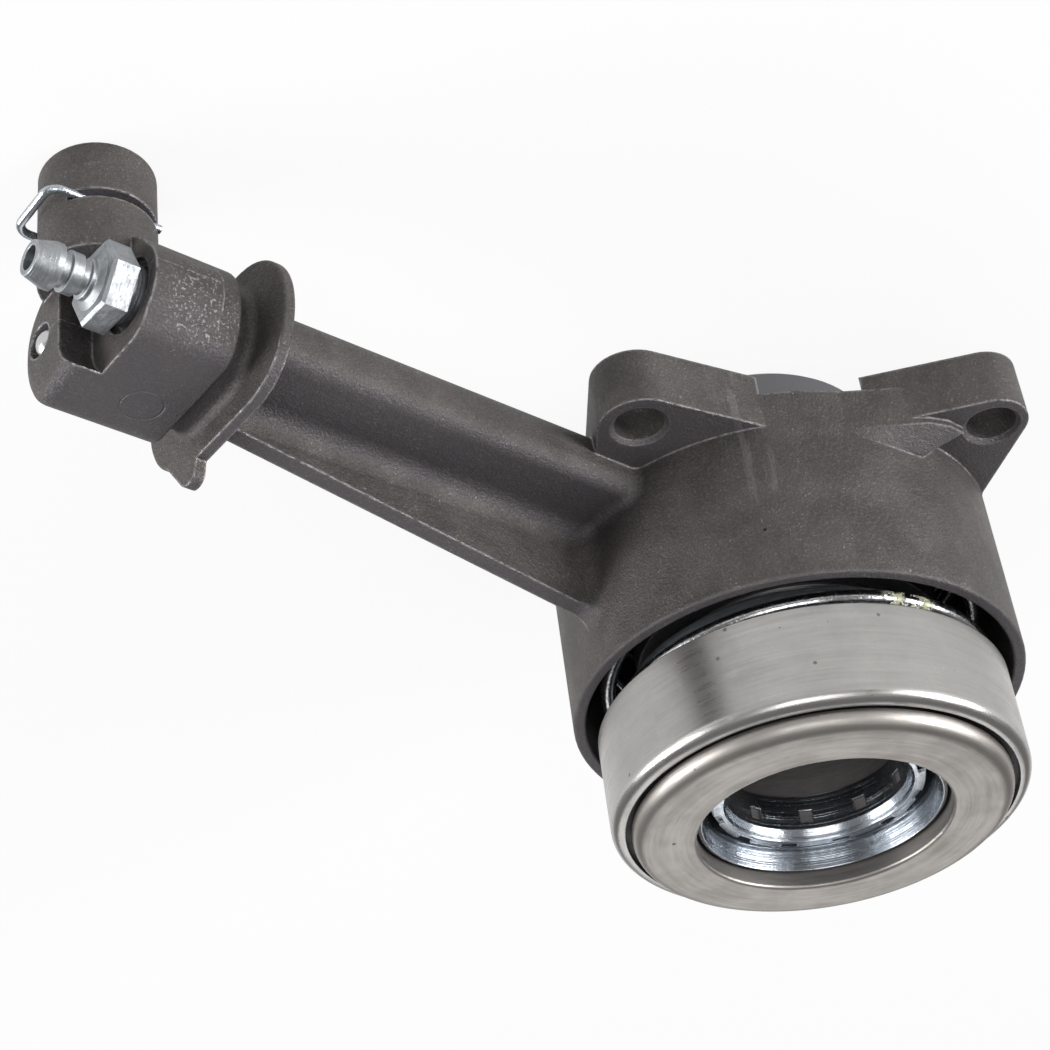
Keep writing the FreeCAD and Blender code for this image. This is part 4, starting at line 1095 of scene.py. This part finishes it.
@dataclass
class Studio:
    """Floor, world, lamps and camera; lengths in metres."""

    floor_height: float = -0.0122
    floor_size: float = 8.0
    floor_colour: Colour = (0.86, 0.86, 0.86)
    white: Colour = (1.0, 1.0, 1.0)
    white_to_camera: float = 0.88
    white_in_gloss: float = 0.5
    sky: float = 0.26
    aim: Point = (-0.03, 0.0, 0.02)
    lamps: tuple[SoftBox, ...] = (
        SoftBox("left_box", (-1.0, -0.65, 0.3), 0.7, 0.5, 14.5),
        SoftBox("right_box", (0.55, 1.1, 0.3), 0.8, 0.5, 21.0),
        SoftBox("front_box", (-0.5, 0.5, 0.45), 0.5, 0.4, 2.6),
        SoftBox("back_box", (0.6, -0.7, 0.7), 1.0, 0.8, 3.0),
    )
    camera_place: Point = (-0.22283, 0.19363, 0.20826)
    right: Point = (0.78921232, 0.60417285, 0.11008672)
    down: Point = (0.28766861, -0.52207378, 0.80292325)
    ahead: Point = (0.54257781, -0.60200842, -0.58582862)
    lens: float = 80.4
    sensor: float = 36.0
    nearest: float = 0.01
    farthest: float = 50.0

    def lay_floor(self) -> None:
        """Lay the pale floor, which the camera sees as nearly white."""
        half = self.floor_size / 2
        corners = [(-half, -half), (half, -half), (half, half), (-half, half)]
        mesh = bmesh.new()
        mesh.faces.new([mesh.verts.new((x, y, self.floor_height)) for x, y in corners])
        data = bpy.data.meshes.new("studio_floor")
        mesh.to_mesh(data)
        mesh.free()
        floor = bpy.data.objects.new("studio_floor", data)
        bpy.context.scene.collection.objects.link(floor)
        data.materials.append(self.floor_material())
        log.info("floor laid")

    def floor_material(self) -> bpy.types.Material:
        """Matt floor that glows white towards the camera and in reflections.

        Returns:
            The material.
        """
        g = Graph.of_material("studio_floor")
        camera = g.node("ShaderNodeLightPath", result="Is Camera Ray")
        glossy = g.node("ShaderNodeLightPath", result="Is Glossy Ray")
        matt = g.node("ShaderNodeBsdfDiffuse", inputs={"Color": g.rgba(self.floor_colour)})
        glow = g.node("ShaderNodeEmission", inputs={"Color": g.rgba(self.white), "Strength": 1.0})
        factor = camera * self.white_to_camera + glossy * self.white_in_gloss
        g.close(g.node("ShaderNodeMixShader", inputs={0: factor, 1: matt, 2: glow}))
        return g.owner

    def light_world(self) -> None:
        """Dim, even light from all round, white towards the camera."""
        world = bpy.data.worlds.new("studio_world")
        g = Graph(world)
        camera = g.node("ShaderNodeLightPath", result="Is Camera Ray")
        strength = camera * (1 - self.sky) + self.sky
        inputs = {"Color": g.rgba(self.white), "Strength": strength}
        g.close(g.node("ShaderNodeBackground", inputs=inputs), "ShaderNodeOutputWorld")
        bpy.context.scene.world = world

    def set_camera(self) -> None:
        """Put the camera where the photograph was taken from."""
        data = bpy.data.cameras.new("photo_camera")
        data.sensor_width = self.sensor
        data.sensor_height = self.sensor
        data.sensor_fit = "HORIZONTAL"
        data.lens = self.lens
        data.clip_start = self.nearest
        data.clip_end = self.farthest
        camera = bpy.data.objects.new("photo_camera", data)
        columns = (Vector(self.right), -Vector(self.down), -Vector(self.ahead))
        turn = Matrix(columns).transposed().to_4x4()
        camera.matrix_world = Matrix.Translation(self.camera_place) @ turn
        bpy.context.scene.collection.objects.link(camera)
        bpy.context.scene.camera = camera

    def build(self) -> None:
        """Set everything up."""
        self.lay_floor()
        self.light_world()
        for lamp in self.lamps:
            lamp.hang(self.aim)
        self.set_camera()
        bpy.context.scene.view_settings.view_transform = "Standard"
        log.info("studio built")


def main() -> None:
    """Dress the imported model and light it."""
    logging.basicConfig(level=logging.INFO, format="%(message)s")
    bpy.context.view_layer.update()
    Studio().build()
    finishes = Finishes()
    groups = (
        CastHousing(),
        GuideTube(),
        PistonGroup(),
        PreloadSpring(),
        ReleaseBearing(),
        PortFittings(),
    )
    for group in groups:
        group.dress(finishes)
        for node, slot in group.nodes.items():
            log.info("%s finished as %s", node, slot)


if __name__ == "__main__":
    main()
